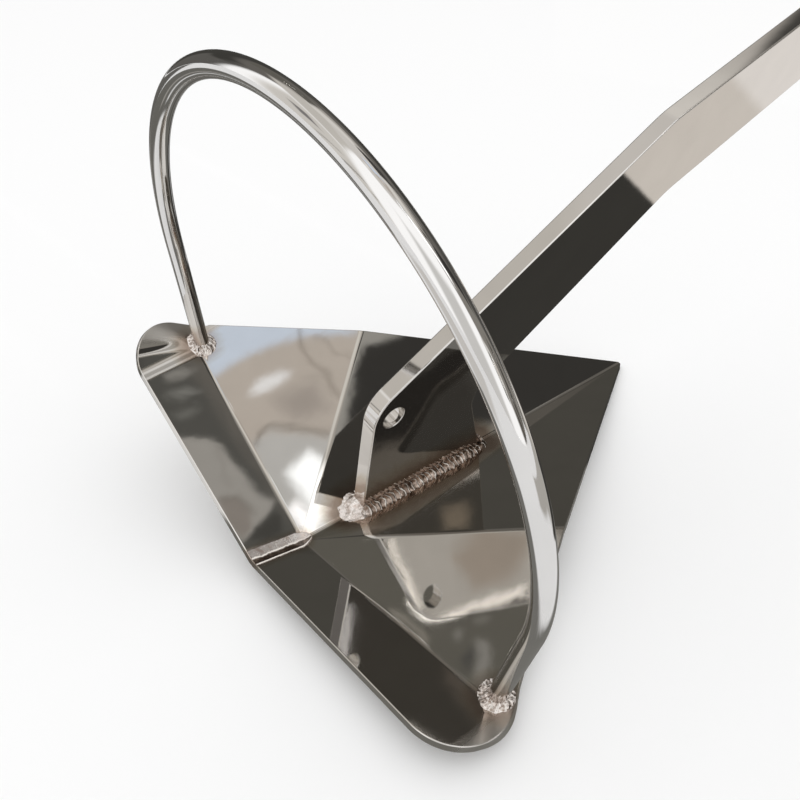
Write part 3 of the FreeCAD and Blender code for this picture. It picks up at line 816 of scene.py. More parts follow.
def make_seam_weld():
    """Dressed weld along the heel seam, from the hub where the folds meet to the rear edge.
    Its port side is ground flat, its starboard side is left as laid."""
    nu, nv = 130, 64
    x0, x1 = -CREASE_L + 7.0, HEEL_X + 0.25
    top = np.zeros((nu, nv, 3))
    crest, pale = np.zeros((nu, nv)), np.zeros((nu, nv))
    t = 2 * np.arange(nv) / (nv - 1) - 1
    for i in range(nu):
        s = i / (nu - 1)
        x = x0 + (x1 - x0) * s
        hub = math.exp(-((x + CREASE_L) / 6.0) ** 2)
        grow = min(1.0, s * 5)
        half = 2.2 + 5.4 * grow ** 0.7 + 0.5 * wobble(x, 0, 0, 0.13, 2.0)
        y = half * t
        z = sheet_top(np.full(nv, x), y)[0]
        # level of a straight chord from toe to toe, which the ground side follows
        chord = z[0] + (z[-1] - z[0]) * (t + 1) / 2
        env = np.sqrt(np.clip(1 - t * t, 0, 1))
        mid = -0.05 + 0.10 * wobble(x, 0, 0, 0.16, 4) + 0.05 * wobble(x, 0, 0, 0.7, 1)
        ground = np.clip((t - mid) / 0.12, 0, 1)
        ridge = 0.65 * np.exp(-((t - mid) / 0.07) ** 2)
        toe = 0.85 * np.exp(-((t + 0.80) / 0.085) ** 2) * (0.8 + 0.3 * wobble(x, 3, 0, 0.2, 8))
        lump = np.array([wobble(x, yy, 0, 0.35, 1.0) for yy in y])
        body = ground * (0.5 * (chord - z) + 0.45 * env) + (1 - ground) * (0.35 * (chord - z) + 0.30 * env)
        zz = z + body + ridge + toe * (1 - ground) + 0.25 * env * lump * (1 - 0.8 * ground) + 0.3 * hub * env
        zz[0] -= 0.25
        zz[-1] -= 0.25
        top[i] = np.stack([np.full(nv, x), y, zz], -1)
        # crest: the ridge and the toe line, which the weld material paints pale, partly as a painted highlight
        crest[i] = np.clip(np.exp(-((t - mid) / 0.07) ** 2) + np.exp(-((t + 0.80) / 0.075) ** 2), 0, 1)
        pale[i] = (0.85 - 0.25 * s) * ground * np.clip((0.98 - t) / 0.1, 0, 1) + 0.3 * hub
    idx = np.arange(nu * nv).reshape(nu, nv)
    v = [top.reshape(-1, 3)]
    f = []
    low = top.copy()
    low[:, :, 2] -= 1.1
    base = nu * nv
    v.append(low.reshape(-1, 3))
    for i in range(nu - 1):
        for k in range(nv - 1):
            f.append((idx[i, k], idx[i, k + 1], idx[i + 1, k + 1], idx[i + 1, k]))
            f.append((base + idx[i + 1, k], base + idx[i + 1, k + 1], base + idx[i, k + 1], base + idx[i, k]))
        for k, fl in ((0, False), (nv - 1, True)):
            q = (idx[i, k], idx[i + 1, k], base + idx[i + 1, k], base + idx[i, k])
            f.append(q if not fl else tuple(reversed(q)))
    for k in range(nv - 1):
        for i, fl in ((0, True), (nu - 1, False)):
            q = (idx[i, k], idx[i, k + 1], base + idx[i, k + 1], base + idx[i, k])
            f.append(tuple(reversed(q)) if not fl else q)
    f = [tuple(reversed(q)) for q in f]
    zero = np.zeros(nu * nv)
    return new_mesh("heel_seam_bead", np.vstack(v), f, None,
                    {"crest": np.r_[crest.ravel(), zero], "pale": np.r_[pale.ravel(), zero]})


# ------------------------------------------------------------------ materials
class Nodes:
    """Small helper to write node trees."""

    def __init__(self, tree):
        self.t = tree
        tree.nodes.clear()

    def add(self, kind, **props):
        n = self.t.nodes.new(kind)
        for k, v in props.items():
            setattr(n, k, v)
        return n

    def link(self, a, b):
        self.t.links.new(a, b)

    def put(self, sock, value):
        if isinstance(value, bpy.types.NodeSocket):
            self.link(value, sock)
        else:
            sock.default_value = value

    def math(self, op, a, b=None, c=None, clamp=False):
        n = self.add("ShaderNodeMath", operation=op, use_clamp=clamp)
        self.put(n.inputs[0], a)
        if b is not None:
            self.put(n.inputs[1], b)
        if c is not None:
            self.put(n.inputs[2], c)
        return n.outputs[0]

    def vmath(self, op, a, b=None, scale=None):
        n = self.add("ShaderNodeVectorMath", operation=op)
        self.put(n.inputs[0], a)
        if b is not None:
            self.put(n.inputs[1], b)
        if scale is not None:
            self.put(n.inputs["Scale"], scale)
        return n.outputs["Value"] if op in ("LENGTH", "DOT_PRODUCT", "DISTANCE") else n.outputs[0]

    def ramp(self, fac, stops, mode="LINEAR"):
        n = self.add("ShaderNodeValToRGB")
        n.color_ramp.interpolation = mode
        el = n.color_ramp.elements
        while len(el) > 1:
            el.remove(el[0])
        el[0].position, el[0].color = stops[0]
        for pos, col in stops[1:]:
            e = el.new(pos)
            e.color = col
        self.link(fac, n.inputs[0])
        return n.outputs[0]

    def noise(self, vec, scale, detail=2.0, rough=0.5, dist=0.0):
        n = self.add("ShaderNodeTexNoise")
        self.link(vec, n.inputs["Vector"])
        n.inputs["Scale"].default_value = scale
        n.inputs["Detail"].default_value = detail
        n.inputs["Roughness"].default_value = rough
        n.inputs["Distortion"].default_value = dist
        return n.outputs["Fac"]

    def mix(self, fac, a, b, mode="MIX"):
        n = self.add("ShaderNodeMix", data_type="RGBA", blend_type=mode)
        self.put(n.inputs[0], fac)
        self.put(n.inputs[6], a)
        self.put(n.inputs[7], b)
        return n.outputs[2]

    def mapped(self, vec, scale, rot=(0, 0, 0)):
        n = self.add("ShaderNodeMapping")
        self.link(vec, n.inputs["Vector"])
        n.inputs["Scale"].default_value = scale
        n.inputs["Rotation"].default_value = rot
        return n.outputs[0]

    def bump(self, height, strength, distance, normal=None):
        n = self.add("ShaderNodeBump")
        n.inputs["Strength"].default_value = strength
        n.inputs["Distance"].default_value = distance
        self.link(height, n.inputs["Height"])
        if normal is not None:
            self.link(normal, n.inputs["Normal"])
        return n.outputs[0]


def seg_distance(g, pos, a, b):
    """Distance in metres from pos to the segment a-b, all in the drawing frame."""
    a, b = np.array(a, float) / 1000, np.array(b, float) / 1000
    d = b - a
    length = float(np.linalg.norm(d))
    u = d / length
    rel = g.vmath("SUBTRACT", pos, tuple(a))
    along = g.vmath("DOT_PRODUCT", rel, tuple(u))
    along = g.math("MINIMUM", g.math("MAXIMUM", along, 0.0), length)
    foot = g.vmath("SCALE", tuple(u), scale=along)
    return g.vmath("DISTANCE", rel, foot)


C = lambda r, gg, b: (r, gg, b, 1.0)


def steel(name, base, rough, wave=1.0, grain=(1, 1, 1), grain_rot=(0, 0, 0), tint=(), dull=None, lines=1.0):
    mat = bpy.data.materials.new(name)
    mat.use_nodes = True
    g = Nodes(mat.node_tree)
    out = g.add("ShaderNodeOutputMaterial")
    bsdf = g.add("ShaderNodeBsdfPrincipled")
    g.link(bsdf.outputs[0], out.inputs[0])
    bsdf.inputs["Metallic"].default_value = 1.0
    pos = g.add("ShaderNodeAttribute", attribute_name="draw").outputs["Vector"]
    big = g.noise(pos, 9.0, 2.0, 0.5, 0.2)
    mid = g.noise(pos, 34.0, 2.0, 0.5, 0.3)
    fine = g.noise(g.mapped(pos, grain, grain_rot), 900.0, 3.0, 0.65)
    smear = g.noise(g.mapped(pos, (1.0, 2.2, 1.6), (0.3, 0.5, 0.7)), 60.0, 4.0, 0.6, 0.8)
    light = tuple(min(1.0, c * 1.04) for c in base)
    dark = tuple(c * 0.93 for c in base)
    col = g.mix(g.math("MULTIPLY", mid, 1.0), C(*dark), C(*light))
    rgh = g.math("ADD", rough * 0.7, g.math("MULTIPLY", smear, rough * 0.6))
    for a, b, r0, r1, strength in tint:
        dist = seg_distance(g, pos, a, b)
        dist = g.math("ADD", dist, g.math("MULTIPLY", g.math("SUBTRACT", smear, 0.5), (r1 - r0) * 0.9))
        k = g.math("DIVIDE", g.math("SUBTRACT", dist, r0), r1 - r0, clamp=True)
        heat = g.ramp(k, [(0.0, C(0.50, 0.36, 0.27)), (0.25, C(0.60, 0.44, 0.33)), (0.45, C(0.66, 0.53, 0.36)),
                          (0.75, C(0.80, 0.70, 0.52)), (1.0, C(1, 1, 1))])
        fac = g.math("MULTIPLY", g.math("SUBTRACT", 1.0, k), strength)
        col = g.mix(fac, col, g.mix(1.0, col, heat, "MULTIPLY"))
        rgh = g.math("ADD", rgh, g.math("MULTIPLY", fac, 0.08))
    if dull is not None:
        rgh = g.math("ADD", rgh, dull(g, pos))
    g.link(col, bsdf.inputs["Base Color"])
    g.link(rgh, bsdf.inputs["Roughness"])
    n1 = g.bump(big, 1.0, 0.00028 * wave)
    n2 = g.bump(mid, 1.0, 0.00004 * wave, n1)
    n3 = g.bump(fine, 0.12, 0.00001 * lines, n2)
    g.link(n3, bsdf.inputs["Normal"])
    return mat


def weld_metal(name):
    """Bead metal: brown oxide between the ripples, crests painted pale and matt (partly cleaner metal on the ridges,
    partly a painted highlight), pale where it was cleaned.
    """
    mat = bpy.data.materials.new(name)
    mat.use_nodes = True
    g = Nodes(mat.node_tree)
    out = g.add("ShaderNodeOutputMaterial")
    bsdf = g.add("ShaderNodeBsdfPrincipled")
    g.link(bsdf.outputs[0], out.inputs[0])
    pos = g.add("ShaderNodeAttribute", attribute_name="draw").outputs["Vector"]
    crest = g.add("ShaderNodeAttribute", attribute_name="crest").outputs["Fac"]
    pale = g.add("ShaderNodeAttribute", attribute_name="pale").outputs["Fac"]
    a = g.noise(pos, 160.0, 3.0, 0.6, 0.5)
    b = g.noise(pos, 700.0, 2.0, 0.6)
    brush = g.noise(g.mapped(pos, (0.25, 4.0, 1.0)), 900.0, 2.0, 0.6)
    oxide = g.ramp(a, [(0.30, C(0.13, 0.095, 0.075)), (0.48, C(0.22, 0.17, 0.14)), (0.60, C(0.36, 0.29, 0.245)),
                       (0.75, C(0.55, 0.48, 0.43))])
    clean = g.ramp(a, [(0.30, C(0.66, 0.56, 0.50)), (0.5, C(0.86, 0.80, 0.76)), (0.7, C(0.95, 0.92, 0.89))])
    # painted highlight: near each crest the colour turns pale cream and less metallic, partly cleaner metal, partly a
    # painted highlight along the ripple
    k = g.math("MULTIPLY", g.math("MULTIPLY", crest, 1.7), g.math("ADD", 0.35, a), clamp=True)
    col = g.mix(k, oxide, C(0.97, 0.92, 0.86))
    col = g.mix(g.math("MULTIPLY", pale, 1.0, clamp=True), col, clean)
    g.link(col, bsdf.inputs["Base Color"])
    matt = g.math("ADD", g.math("MULTIPLY", pale, 0.52, clamp=True), g.math("MULTIPLY", k, 0.75))
    g.link(g.math("SUBTRACT", 1.0, matt, clamp=True), bsdf.inputs["Metallic"])
    rgh = g.math("ADD", g.math("ADD", 0.12, g.math("MULTIPLY", b, 0.12)), g.math("MULTIPLY", k, 0.28))
    rgh = g.math("ADD", rgh, g.math("MULTIPLY", g.math("MULTIPLY", pale, 0.14, clamp=True), g.math("ADD", brush, 0.3)))
    g.link(rgh, bsdf.inputs["Roughness"])
    n1 = g.bump(a, 0.5, 0.0005)
    n2 = g.bump(b, 0.4, 0.00008, n1)
    n3 = g.bump(brush, 0.25, 0.00002, n2)
    g.link(n3, bsdf.inputs["Normal"])
    return mat


BAR_FOOT_PT = np.array(BAR_BASE)
tints_plate = [
    ((-352, 0, 0), (-218, 0, 0), 0.017, 0.030, 0.75),
    ((-400, 0, 0), (-446, 0, 13), 0.006, 0.013, 0.55),
    (BAR_FOOT_PT - [2, 0, 8], BAR_FOOT_PT - [0, 0, 8], 0.011, 0.022, 0.5),
    (BAR_FOOT_PT * [1, -1, 1] - [2, 0, 8], BAR_FOOT_PT * [1, -1, 1] - [0, 0, 8], 0.011, 0.022, 0.5),
]


def flap_dull(g, pos):
    """Corner flaps are left with a brushed finish."""
    sep = g.add("ShaderNodeSeparateXYZ")
    g.link(pos, sep.inputs[0])
    ay = g.math("ABSOLUTE", sep.outputs[1])
    d = g.math("SUBTRACT", ay, 0.184)
    return g.math("MULTIPLY", g.math("MULTIPLY", d, 160.0, clamp=True), 0.30)


MAT_PLATE = steel("polished_plate", (0.64, 0.62, 0.59), 0.030, 1.0, (1, 14, 1), (0, 0, 0.5), tints_plate, flap_dull)
MAT_SHANK = steel("polished_shank", (0.66, 0.64, 0.62), 0.035, 0.8, (14, 1, 1), (0, -0.6, 0),
                  [((-352, 0, 6), (-218, 0, 6), 0.012, 0.024, 0.6)])
MAT_BAR = steel("polished_bar", (0.70, 0.69, 0.68), 0.06, 0.5, (1, 6, 6), (0, 0, 0),
                [(BAR_FOOT_PT - [0, 0, 9], BAR_FOOT_PT, 0.010, 0.022, 0.5),
                 (BAR_FOOT_PT * [1, -1, 1] - [0, 0, 9], BAR_FOOT_PT * [1, -1, 1], 0.010, 0.022, 0.5)])
MAT_WELD = weld_metal("weld_metal")

# ------------------------------------------------------------------ build
parts = [
    (make_fluke(), "fluke_plate", "polished_plate", MAT_PLATE),
    (make_shank(), "shank", "polished_shank", MAT_SHANK),
    (make_hoop(), "roll_bar", "polished_bar", MAT_BAR),
    (make_shank_weld(), "shank_weld", "weld_metal", MAT_WELD),
    (make_seam_weld(), "heel_seam_weld", "weld_metal", MAT_WELD),
    (make_foot_weld(1), "bar_weld_port", "weld_metal", MAT_WELD),
    (make_foot_weld(-1), "bar_weld_starboard", "weld_metal", MAT_WELD),
]
for ob, node, slot, mat in parts:
    ob.data.materials.append(mat)
    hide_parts(node)
    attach(ob, "root")

# ------------------------------------------------------------------ camera
cam_data = bpy.data.cameras.new("camera")
cam = bpy.data.objects.new("camera", cam_data)
bpy.context.scene.collection.objects.link(cam)
CAM_R = np.array([2.3089, -0.7442, 0.5088])
ang = float(np.linalg.norm(CAM_R))
kx, ky, kz = CAM_R / ang
K = np.array([[0, -kz, ky], [kz, 0, -kx], [-ky, kx, 0]])
R = np.eye(3) + math.sin(ang) * K + (1 - math.cos(ang)) * K @ K
cam_pos = to_row(np.array([-1.4404, -0.5751, 1.1306]) * CREASE_L)
axes = R @ ROW.T
m = np.eye(4)
m[:3, 0], m[:3, 1], m[:3, 2], m[:3, 3] = axes[0], -axes[1], -axes[2], cam_pos
cam.matrix_world = Matrix(m.tolist())
cam_data.sensor_width = 36.0
cam_data.lens = 36.0 * 689.8 / 800.0
cam_data.shift_x = -(409.30 - 400.0) / 800.0
cam_data.shift_y = (409.47 - 400.0) / 800.0
cam_data.clip_start, cam_data.clip_end = 0.01, 100.0
bpy.context.scene.camera = cam

# ------------------------------------------------------------------ stage
def emission(name, color, strength):
    mat = bpy.data.materials.new(name)
    mat.use_nodes = True
    g = Nodes(mat.node_tree)
    out = g.add("ShaderNodeOutputMaterial")
    e = g.add("ShaderNodeEmission")
    e.inputs[0].default_value = C(*color)
    e.inputs[1].default_value = strength
    g.link(e.outputs[0], out.inputs[0])
    return mat


def floor_material():
    mat = bpy.data.materials.new("studio_floor")
    mat.use_nodes = True
    b = mat.node_tree.nodes["Principled BSDF"]
    b.inputs["Base Color"].default_value = C(0.92, 0.92, 0.92)
    b.inputs["Roughness"].default_value = 0.9
    b.inputs["Specular IOR Level"].default_value = 0.1
    return mat


me = bpy.data.meshes.new("floor")
S = 30.0
me.from_pydata([(-S, -S, 0), (S, -S, 0), (S, S, 0), (-S, S, 0)], [], [(0, 1, 2, 3)])
floor = bpy.data.objects.new("floor", me)
bpy.context.scene.collection.objects.link(floor)
floor.location.z = -0.0002
me.materials.append(floor_material())


# Reflection set: the light and dark sides of a studio round the object, seen in the
# polished metal only. Many panels and strokes are painted reflections: mirror images of the
# anchor's own shank, plate edges and marks, placed where the metal shows them from this
# camera. Directions are az (0 is +X, 90 is +Y) and el, in degrees. Small
# panels are laid out on a disc: r = 90 - el, x = r cos az, y = r sin az.
def window(az, el, a0, a1, e0, e1, soft):
    """1 inside an azimuth and elevation window, falling to 0 over soft degrees."""
    c, w = (a0 + a1) / 2, (a1 - a0) / 2
    da = (np.abs((az - c + 180) % 360 - 180) - w) * np.cos(np.radians(np.clip(el, -85, 85)))
    d = np.maximum(da, np.maximum(e0 - el, el - e1))
    t = np.clip(0.5 - d / soft, 0, 1)
    return t * t * (3 - 2 * t)


def line_distance(p, pts, closed=False):
    pts = np.asarray(pts, float)
    q = np.vstack([pts, pts[:1]]) if closed else pts
    best = np.full(len(p), 1e9)
    for a, b in zip(q[:-1], q[1:]):
        d = b - a
        t = np.clip(((p - a) @ d) / (d @ d), 0, 1)
        best = np.minimum(best, np.linalg.norm(p - a - t[:, None] * d, axis=1))
    return best


def panel(p, pts, soft):
    d = line_distance(p, pts, True)
    d = np.where(inside(np.asarray(pts, float), p), -d, d)
    t = np.clip(0.5 - d / soft, 0, 1)
    return t * t * (3 - 2 * t)


def stroke(p, pts, width, soft):
    t = np.clip(0.5 - (line_distance(p, pts) - width / 2) / soft, 0, 1)
    return t * t * (3 - 2 * t)


WINDOWS = [
    # az0, az1, el0, el1, soft, colour
    (-70, 113, -90, 74, 4, (0.17, 0.16, 0.145)),        # the dark side ahead
    (-72, -22, -40, 56, 10, (0.29, 0.272, 0.245)),
    (-20, 112, -40, 28, 9, (0.10, 0.096, 0.088)),
    (12, 104, -40, 32, 9, (0.060, 0.058, 0.052)),
    (-64, 100, 52, 64, 8, (0.52, 0.49, 0.45)),
    (-64, 100, 62, 76, 7, (0.88, 0.85, 0.80)),
    (84, 110, -25, 20, 3, (0.13, 0.125, 0.115)),
    (92, 160, 47, 84, 5, (0.70, 0.67, 0.62)),
    (-165, -112, -12, 45, 14, (0.78, 0.77, 0.75)),
    (124, 160, -12, 45, 10, (0.80, 0.77, 0.72)),
    (-180, 180, 74, 95, 5, (0.78, 0.75, 0.71)),         # ceiling
]
PANELS = [
    # outline on the disc, soft, colour
    ([(-4, 3), (16, -5), (6, -15), (-1, -20)], 1.5, (0.66, 0.60, 0.54)),
    ([(0.5, -3.4), (0.5, 3), (5, 3), (15, -6.0), (12.0, -5.7), (8, -4.0), (4, -3.1)], 0.9, (0.80, 0.90, 1.06)),
    ([(2.4, -6.1), (3.6, -5.6), (5.6, -5.9), (6.3, -6.5), (5.0, -6.9), (3.2, -6.6)], 0.8, (1.1, 1.1, 1.12)),
    ([(4, -7.6), (7.6, -8), (7.4, -10.4), (4.6, -9.6)], 2.0, (0.50, 0.45, 0.41)),
    ([(0.4, -9.4), (2.5, -9.5), (4, -10.6), (6.6, -12.6), (9, -14), (5, -20), (-1, -21)], 0.9, (0.66, 0.655, 0.64)),
    ([(1.6, -13.4), (4.2, -12.6), (5.0, -14.6), (3.2, -16.6), (2.0, -17.2)], 1.3, (1.7, 1.75, 1.8)),
    ([(0.2, -15.6), (1.2, -15.4), (2.2, -18.6), (0.6, -19)], 0.7, (1.8, 1.8, 1.85)),
    ([(2, -19), (6, -16.5), (25, -33), (21, -39)], 2.0, (2.0, 2.0, 2.0)),
    # starboard rear facet
    ([(5, 53), (5, 26), (24, 26), (24, 53)], 2.0, (0.150, 0.143, 0.124)),
    ([(12.1, 30.0), (14.2, 30.6), (15.2, 31.6), (14.5, 32.6), (13.7, 31.6), (12.3, 31.0)], 0.6, (0.30, 0.29, 0.27)),
    ([(12.3, 31.5), (13.6, 31.6), (14.0, 32.4), (12.5, 32.6)], 0.5, (0.105, 0.102, 0.095)),
    ([(13.4, 33.5), (14.2, 33.6), (14.1, 34.1), (13.5, 34.0)], 0.4, (0.30, 0.29, 0.27)),
    ([(15.6, 33.3), (16.6, 32.6), (16.8, 33.0), (15.8, 33.7)], 0.4, (0.24, 0.23, 0.21)),
    # port heel strip
    ([(36, 9), (41, 6), (49, -13), (42, -15), (35, 0)], 1.5, (0.115, 0.113, 0.105)),
    ([(38.0, -1.2), (40.7, -1.6), (42.5, -1.85), (43.3, -2.8), (44.1, -4.4), (44.8, -6.2), (45.6, -7.4), (46.9, -8.3),
      (46.0, -9.2), (44.9, -9.95), (44.1, -10.7), (43.3, -11.4), (42, -10)], 0.35, (0.44, 0.425, 0.40)),
    ([(42.2, -7.2), (43.8, -7.35), (44.5, -8.5), (44.4, -9.9), (43.4, -11.0), (42.4, -9.5)], 0.35, (0.33, 0.30, 0.275)),
    ([(43.6, -11.2), (44.6, -10.3), (45.6, -9.7), (46.4, -9.3), (47.0, -9.6), (46.6, -11.3), (45, -11.6)], 0.4, (0.080, 0.078, 0.072)),
    ([(39.6, 4.0), (41.2, 4.6), (42.1, 4.4), (41.2, 3.7), (40.0, 3.4)], 0.6, (0.34, 0.33, 0.31)),
    ([(39.4, 2.3), (41.2, 2.7), (42.3, 2.3), (41.0, 1.8)], 0.6, (0.27, 0.27, 0.255)),
    ([(39.9, 0.9), (41.6, 1.1), (42.0, 0.7), (40.6, 0.4)], 0.6, (0.22, 0.22, 0.205)),
    # front facets
    ([(36, 54), (36, 38), (60, 38), (60, 54)], 3.0, (0.088, 0.084, 0.074)),
    ([(24, -18), (56, -18), (56, -32.5), (24, -31)], 1.2, (0.050, 0.048, 0.045)),
    ([(59, 7), (70, 7), (70, 20), (59, 20)], 2.0, (0.062, 0.060, 0.054)),
    ([(24, -31), (27.2, -29.8), (28.6, -26.9), (30.1, -24.2), (31.4, -22.2), (34.8, -22.0), (34.8, -20), (31, -19.6), (24, -22)],
     0.8, (0.42, 0.41, 0.385)),
    ([(40, -33.6), (49, -33.6), (50, -41), (38, -43)], 1.0, (0.29, 0.28, 0.255)),
    # painted reflection of the shank's port side in the port front facet
    ([(19, -1.5), (38, -1.5), (37.6, 6.5), (34, 9.5), (19, 10)], 1.2, (0.075, 0.072, 0.066)),
    # right heel strip, front facets, and a painted reflection of the shank side after two reflections
    ([(49, -42), (62, -42), (62, -66), (49, -66)], 2.0, (0.088, 0.083, 0.073)),
    ([(58, -44.5), (60, -45), (60, -50.5), (58.2, -49.8)], 1.6, (0.17, 0.15, 0.13)),
    ([(10, -56), (29, -55), (31, -66), (20, -76), (10, -73)], 2.0, (0.80, 0.78, 0.74)),
    ([(20.5, -63.2), (23.5, -61.0), (28.5, -60.8), (26, -65.5), (21.5, -66.2)], 1.8, (0.64, 0.57, 0.50)),
    ([(24.4, -59.0), (29.0, -61.6), (29.6, -60), (26, -57)], 0.5, (1.3, 1.3, 1.25)),
    # painted reflection of the plate near its bright arris, along the border of its mirror image
    ([(12, -65.6), (15.0, -65.8), (16.4, -68.0), (17.3, -69.5), (18.4, -71.4), (18.4, -75.5), (11, -75)], 0.08, (0.16, 0.155, 0.14)),
    ([(14, -64.4), (15.5, -64.5), (16.6, -63.95), (18.2, -63.0), (19.8, -62.1), (21.4, -61.1), (22.6, -60.3), (23.4, -59.9), (22.5, -58),
      (14, -61)], 0.08, (0.16, 0.155, 0.14)),
    # right heel strip near the foot of the plate
    ([(-54, 37), (-44, 36), (-43, 46), (-53, 48)], 3.0, (0.26, 0.25, 0.245)),
    ([(35, -70), (53, -70), (53, -84), (35, -84)], 3.0, (0.100, 0.094, 0.082)),
    ([(43, -75.6), (44.6, -73.8), (46.6, -74.4), (44.4, -76.6)], 1.2, (0.34, 0.29, 0.23)),
]
STROKES = [
    # line on the disc, width, soft, colour
    ([(8.6, -3.6), (8.2, -4.8), (8.2, -6.5), (8.7, -8.1), (8.5, -9.2), (8.7, -10.0)], 0.22, 0.3, (0.30, 0.26, 0.22)),
    ([(9.6, -4.8), (10.2, -5.4), (10.2, -6.7), (11.0, -7.2), (11.2, -8.0)], 0.14, 0.25, (0.36, 0.32, 0.28)),
    ([(0.8, -9.8), (1.5, -9.1), (2.6, -9.2), (3.8, -9.9), (5.4, -11.2), (6.6, -12.2)], 0.24, 0.3, (0.26, 0.23, 0.20)),
    # starboard rear facet: a painted reflection, a bright line and small light marks in its mirror image
    ([(12.90, 38.6), (12.88, 37.7), (12.97, 36.85), (13.2, 36.3), (13.6, 35.85), (14.2, 35.4), (14.9, 35.0), (15.8, 34.6)],
     0.12, 0.06, (7.0, 6.8, 6.4)),
    ([(11.2, 39.2), (11.6, 38.4), (11.8, 37.4), (11.85, 36.2), (11.7, 35.2)], 0.14, 0.14, (0.7, 0.65, 0.58)),
    ([(14.2, 45.0), (14.6, 44.6)], 0.2, 0.2, (0.8, 0.78, 0.72)),
    ([(42.3, -7.2), (43.0, -7.35), (43.7, -7.3), (44.1, -7.9), (44.5, -8.4), (44.9, -9.2)], 0.16, 0.2, (0.19, 0.17, 0.15)),
    ([(42.7, -3.0), (43.0, -4.2), (42.9, -5.4), (43.4, -6.4)], 0.12, 0.3, (0.33, 0.31, 0.29)),
    # painted reflections of bright edges
    ([(18.3, -71.7), (17.15, -69.6), (16.25, -68.1), (15.1, -66.3)], 0.15, 0.08, (8.0, 7.8, 7.4)),
    ([(14.9, -64.4), (16.6, -63.9), (18.1, -63.0), (19.65, -62.1), (21.9, -60.65), (23.6, -59.7)], 0.12, 0.08, (8.0, 7.8, 7.5)),
    ([(56.1, -44.0), (54.9, -45.4), (53.7, -47.2), (53.1, -49.0), (52.7, -51.0)], 0.24, 0.2, (3.0, 2.9, 2.8)),
    ([(51.6, -58.8), (53.2, -60.3), (54.6, -61.3)], 0.24, 0.18, (4.0, 4.0, 4.1)),
    # bars across the plate's bend
    ([(-70, 28), (-72, 56)], 1.3, 0.7, (0.16, 0.155, 0.15)),
    ([(-76, 28), (-78, 56)], 0.8, 0.6, (0.12, 0.115, 0.11)),
    ([(-62, 34), (-64, 58)], 0.9, 0.8, (0.22, 0.21, 0.20)),
]


def studio_light(d):
    """Colour of the reflection set in each direction d."""
    d = unit(d)
    el = np.degrees(np.arcsin(np.clip(d[:, 2], -1, 1)))
    az = np.degrees(np.arctan2(d[:, 1], d[:, 0]))
    p = np.stack([(90 - el) * np.cos(np.radians(az)), (90 - el) * np.sin(np.radians(az))], -1)
    col = np.full((len(d), 3), 1.35)
    for a0, a1, e0, e1, soft, c in WINDOWS:
        k = window(az, el, a0, a1, e0, e1, soft)[:, None]
        col = col * (1 - k) + np.array(c) * k
    for pts, soft, c in PANELS:
        k = panel(p, pts, soft)[:, None]
        col = col * (1 - k) + np.array(c) * k
    for pts, width, soft, c in STROKES:
        k = stroke(p, pts, width, soft)[:, None]
        col = col * (1 - k) + np.array(c) * k
    return col


def glow_material():
    mat = bpy.data.materials.new("studio_glow")
    mat.use_nodes = True
    g = Nodes(mat.node_tree)
    out = g.add("ShaderNodeOutputMaterial")
    e = g.add("ShaderNodeEmission")
    a = g.add("ShaderNodeAttribute", attribute_name="light")
    g.link(a.outputs["Color"], e.inputs[0])
    g.link(e.outputs[0], out.inputs[0])
    return mat


GLOW = glow_material()


def reflect_only(ob):
    ob.visible_camera = False
    ob.visible_diffuse = False
    ob.visible_shadow = False
    ob.visible_transmission = False
    ob.visible_volume_scatter = False


def glow_mesh(name, v, faces, col):
    me = bpy.data.meshes.new(name)
    me.from_pydata(v.tolist(), [], faces)
    at = me.attributes.new("light", "FLOAT_COLOR", "POINT")
    at.data.foreach_set("color", np.hstack([col, np.ones((len(col), 1))]).astype(np.float32).ravel())
    me.materials.append(GLOW)
    ob = bpy.data.objects.new(name, me)
    bpy.context.scene.collection.objects.link(ob)
    reflect_only(ob)
    return ob


def quads(nu, nv, wrap=False):
    idx = np.arange(nu * nv).reshape(nu, nv)
    f = []
    for i in range(nu - 1):
        for j in range(nv if wrap else nv - 1):
            k = (j + 1) % nv
            f.append((int(idx[i, j]), int(idx[i, k]), int(idx[i + 1, k]), int(idx[i + 1, j])))
    return f


def from_disc(p):
    r = np.linalg.norm(p, axis=1)
    az = np.arctan2(p[:, 1], p[:, 0])
    el = np.radians(90 - r)
    return np.stack([np.cos(el) * np.cos(az), np.cos(el) * np.sin(az), np.sin(el)], -1)


DOME_R = 90.0


def make_studio():
    az = np.radians(np.arange(-180, 180, 1.5))
    el = np.radians(np.arange(-60, 90.1, 1.5))
    E, A = np.meshgrid(el, az, indexing="ij")
    d = np.stack([np.cos(E) * np.cos(A), np.cos(E) * np.sin(A), np.sin(E)], -1).reshape(-1, 3)
    glow_mesh("studio_dome_with_painted_reflections", d * DOME_R, quads(len(el), len(az), True), studio_light(d))
    for i, (x0, x1, y0, y1, st) in enumerate([(-3, 24, -34, 4, 0.15), (5, 22, 26, 50, 0.12), (38, 49, -14, 7, 0.10),
                                              (35, 60, 36, 54, 0.4), (24, 56, -42, -19, 0.25), (12, 30, -75, -56, 0.14),
                                              (49, 62, -64, -43, 0.12), (35, 54, -84, -70, 0.3), (19, 38, -2, 10, 0.3),
                                              (11.5, 16.5, 33.8, 39.2, 0.05), (13.5, 25.5, -73, -58.5, 0.07)]):
        xs, ys = np.arange(x0, x1 + st / 2, st), np.arange(y0, y1 + st / 2, st)
        X, Y = np.meshgrid(xs, ys, indexing="ij")
        d = from_disc(np.stack([X, Y], -1).reshape(-1, 2))
        glow_mesh("studio_panel_with_painted_reflections_%d" % i, d * DOME_R * (0.99 - 0.001 * i), quads(len(xs), len(ys)), studio_light(d))


make_studio()
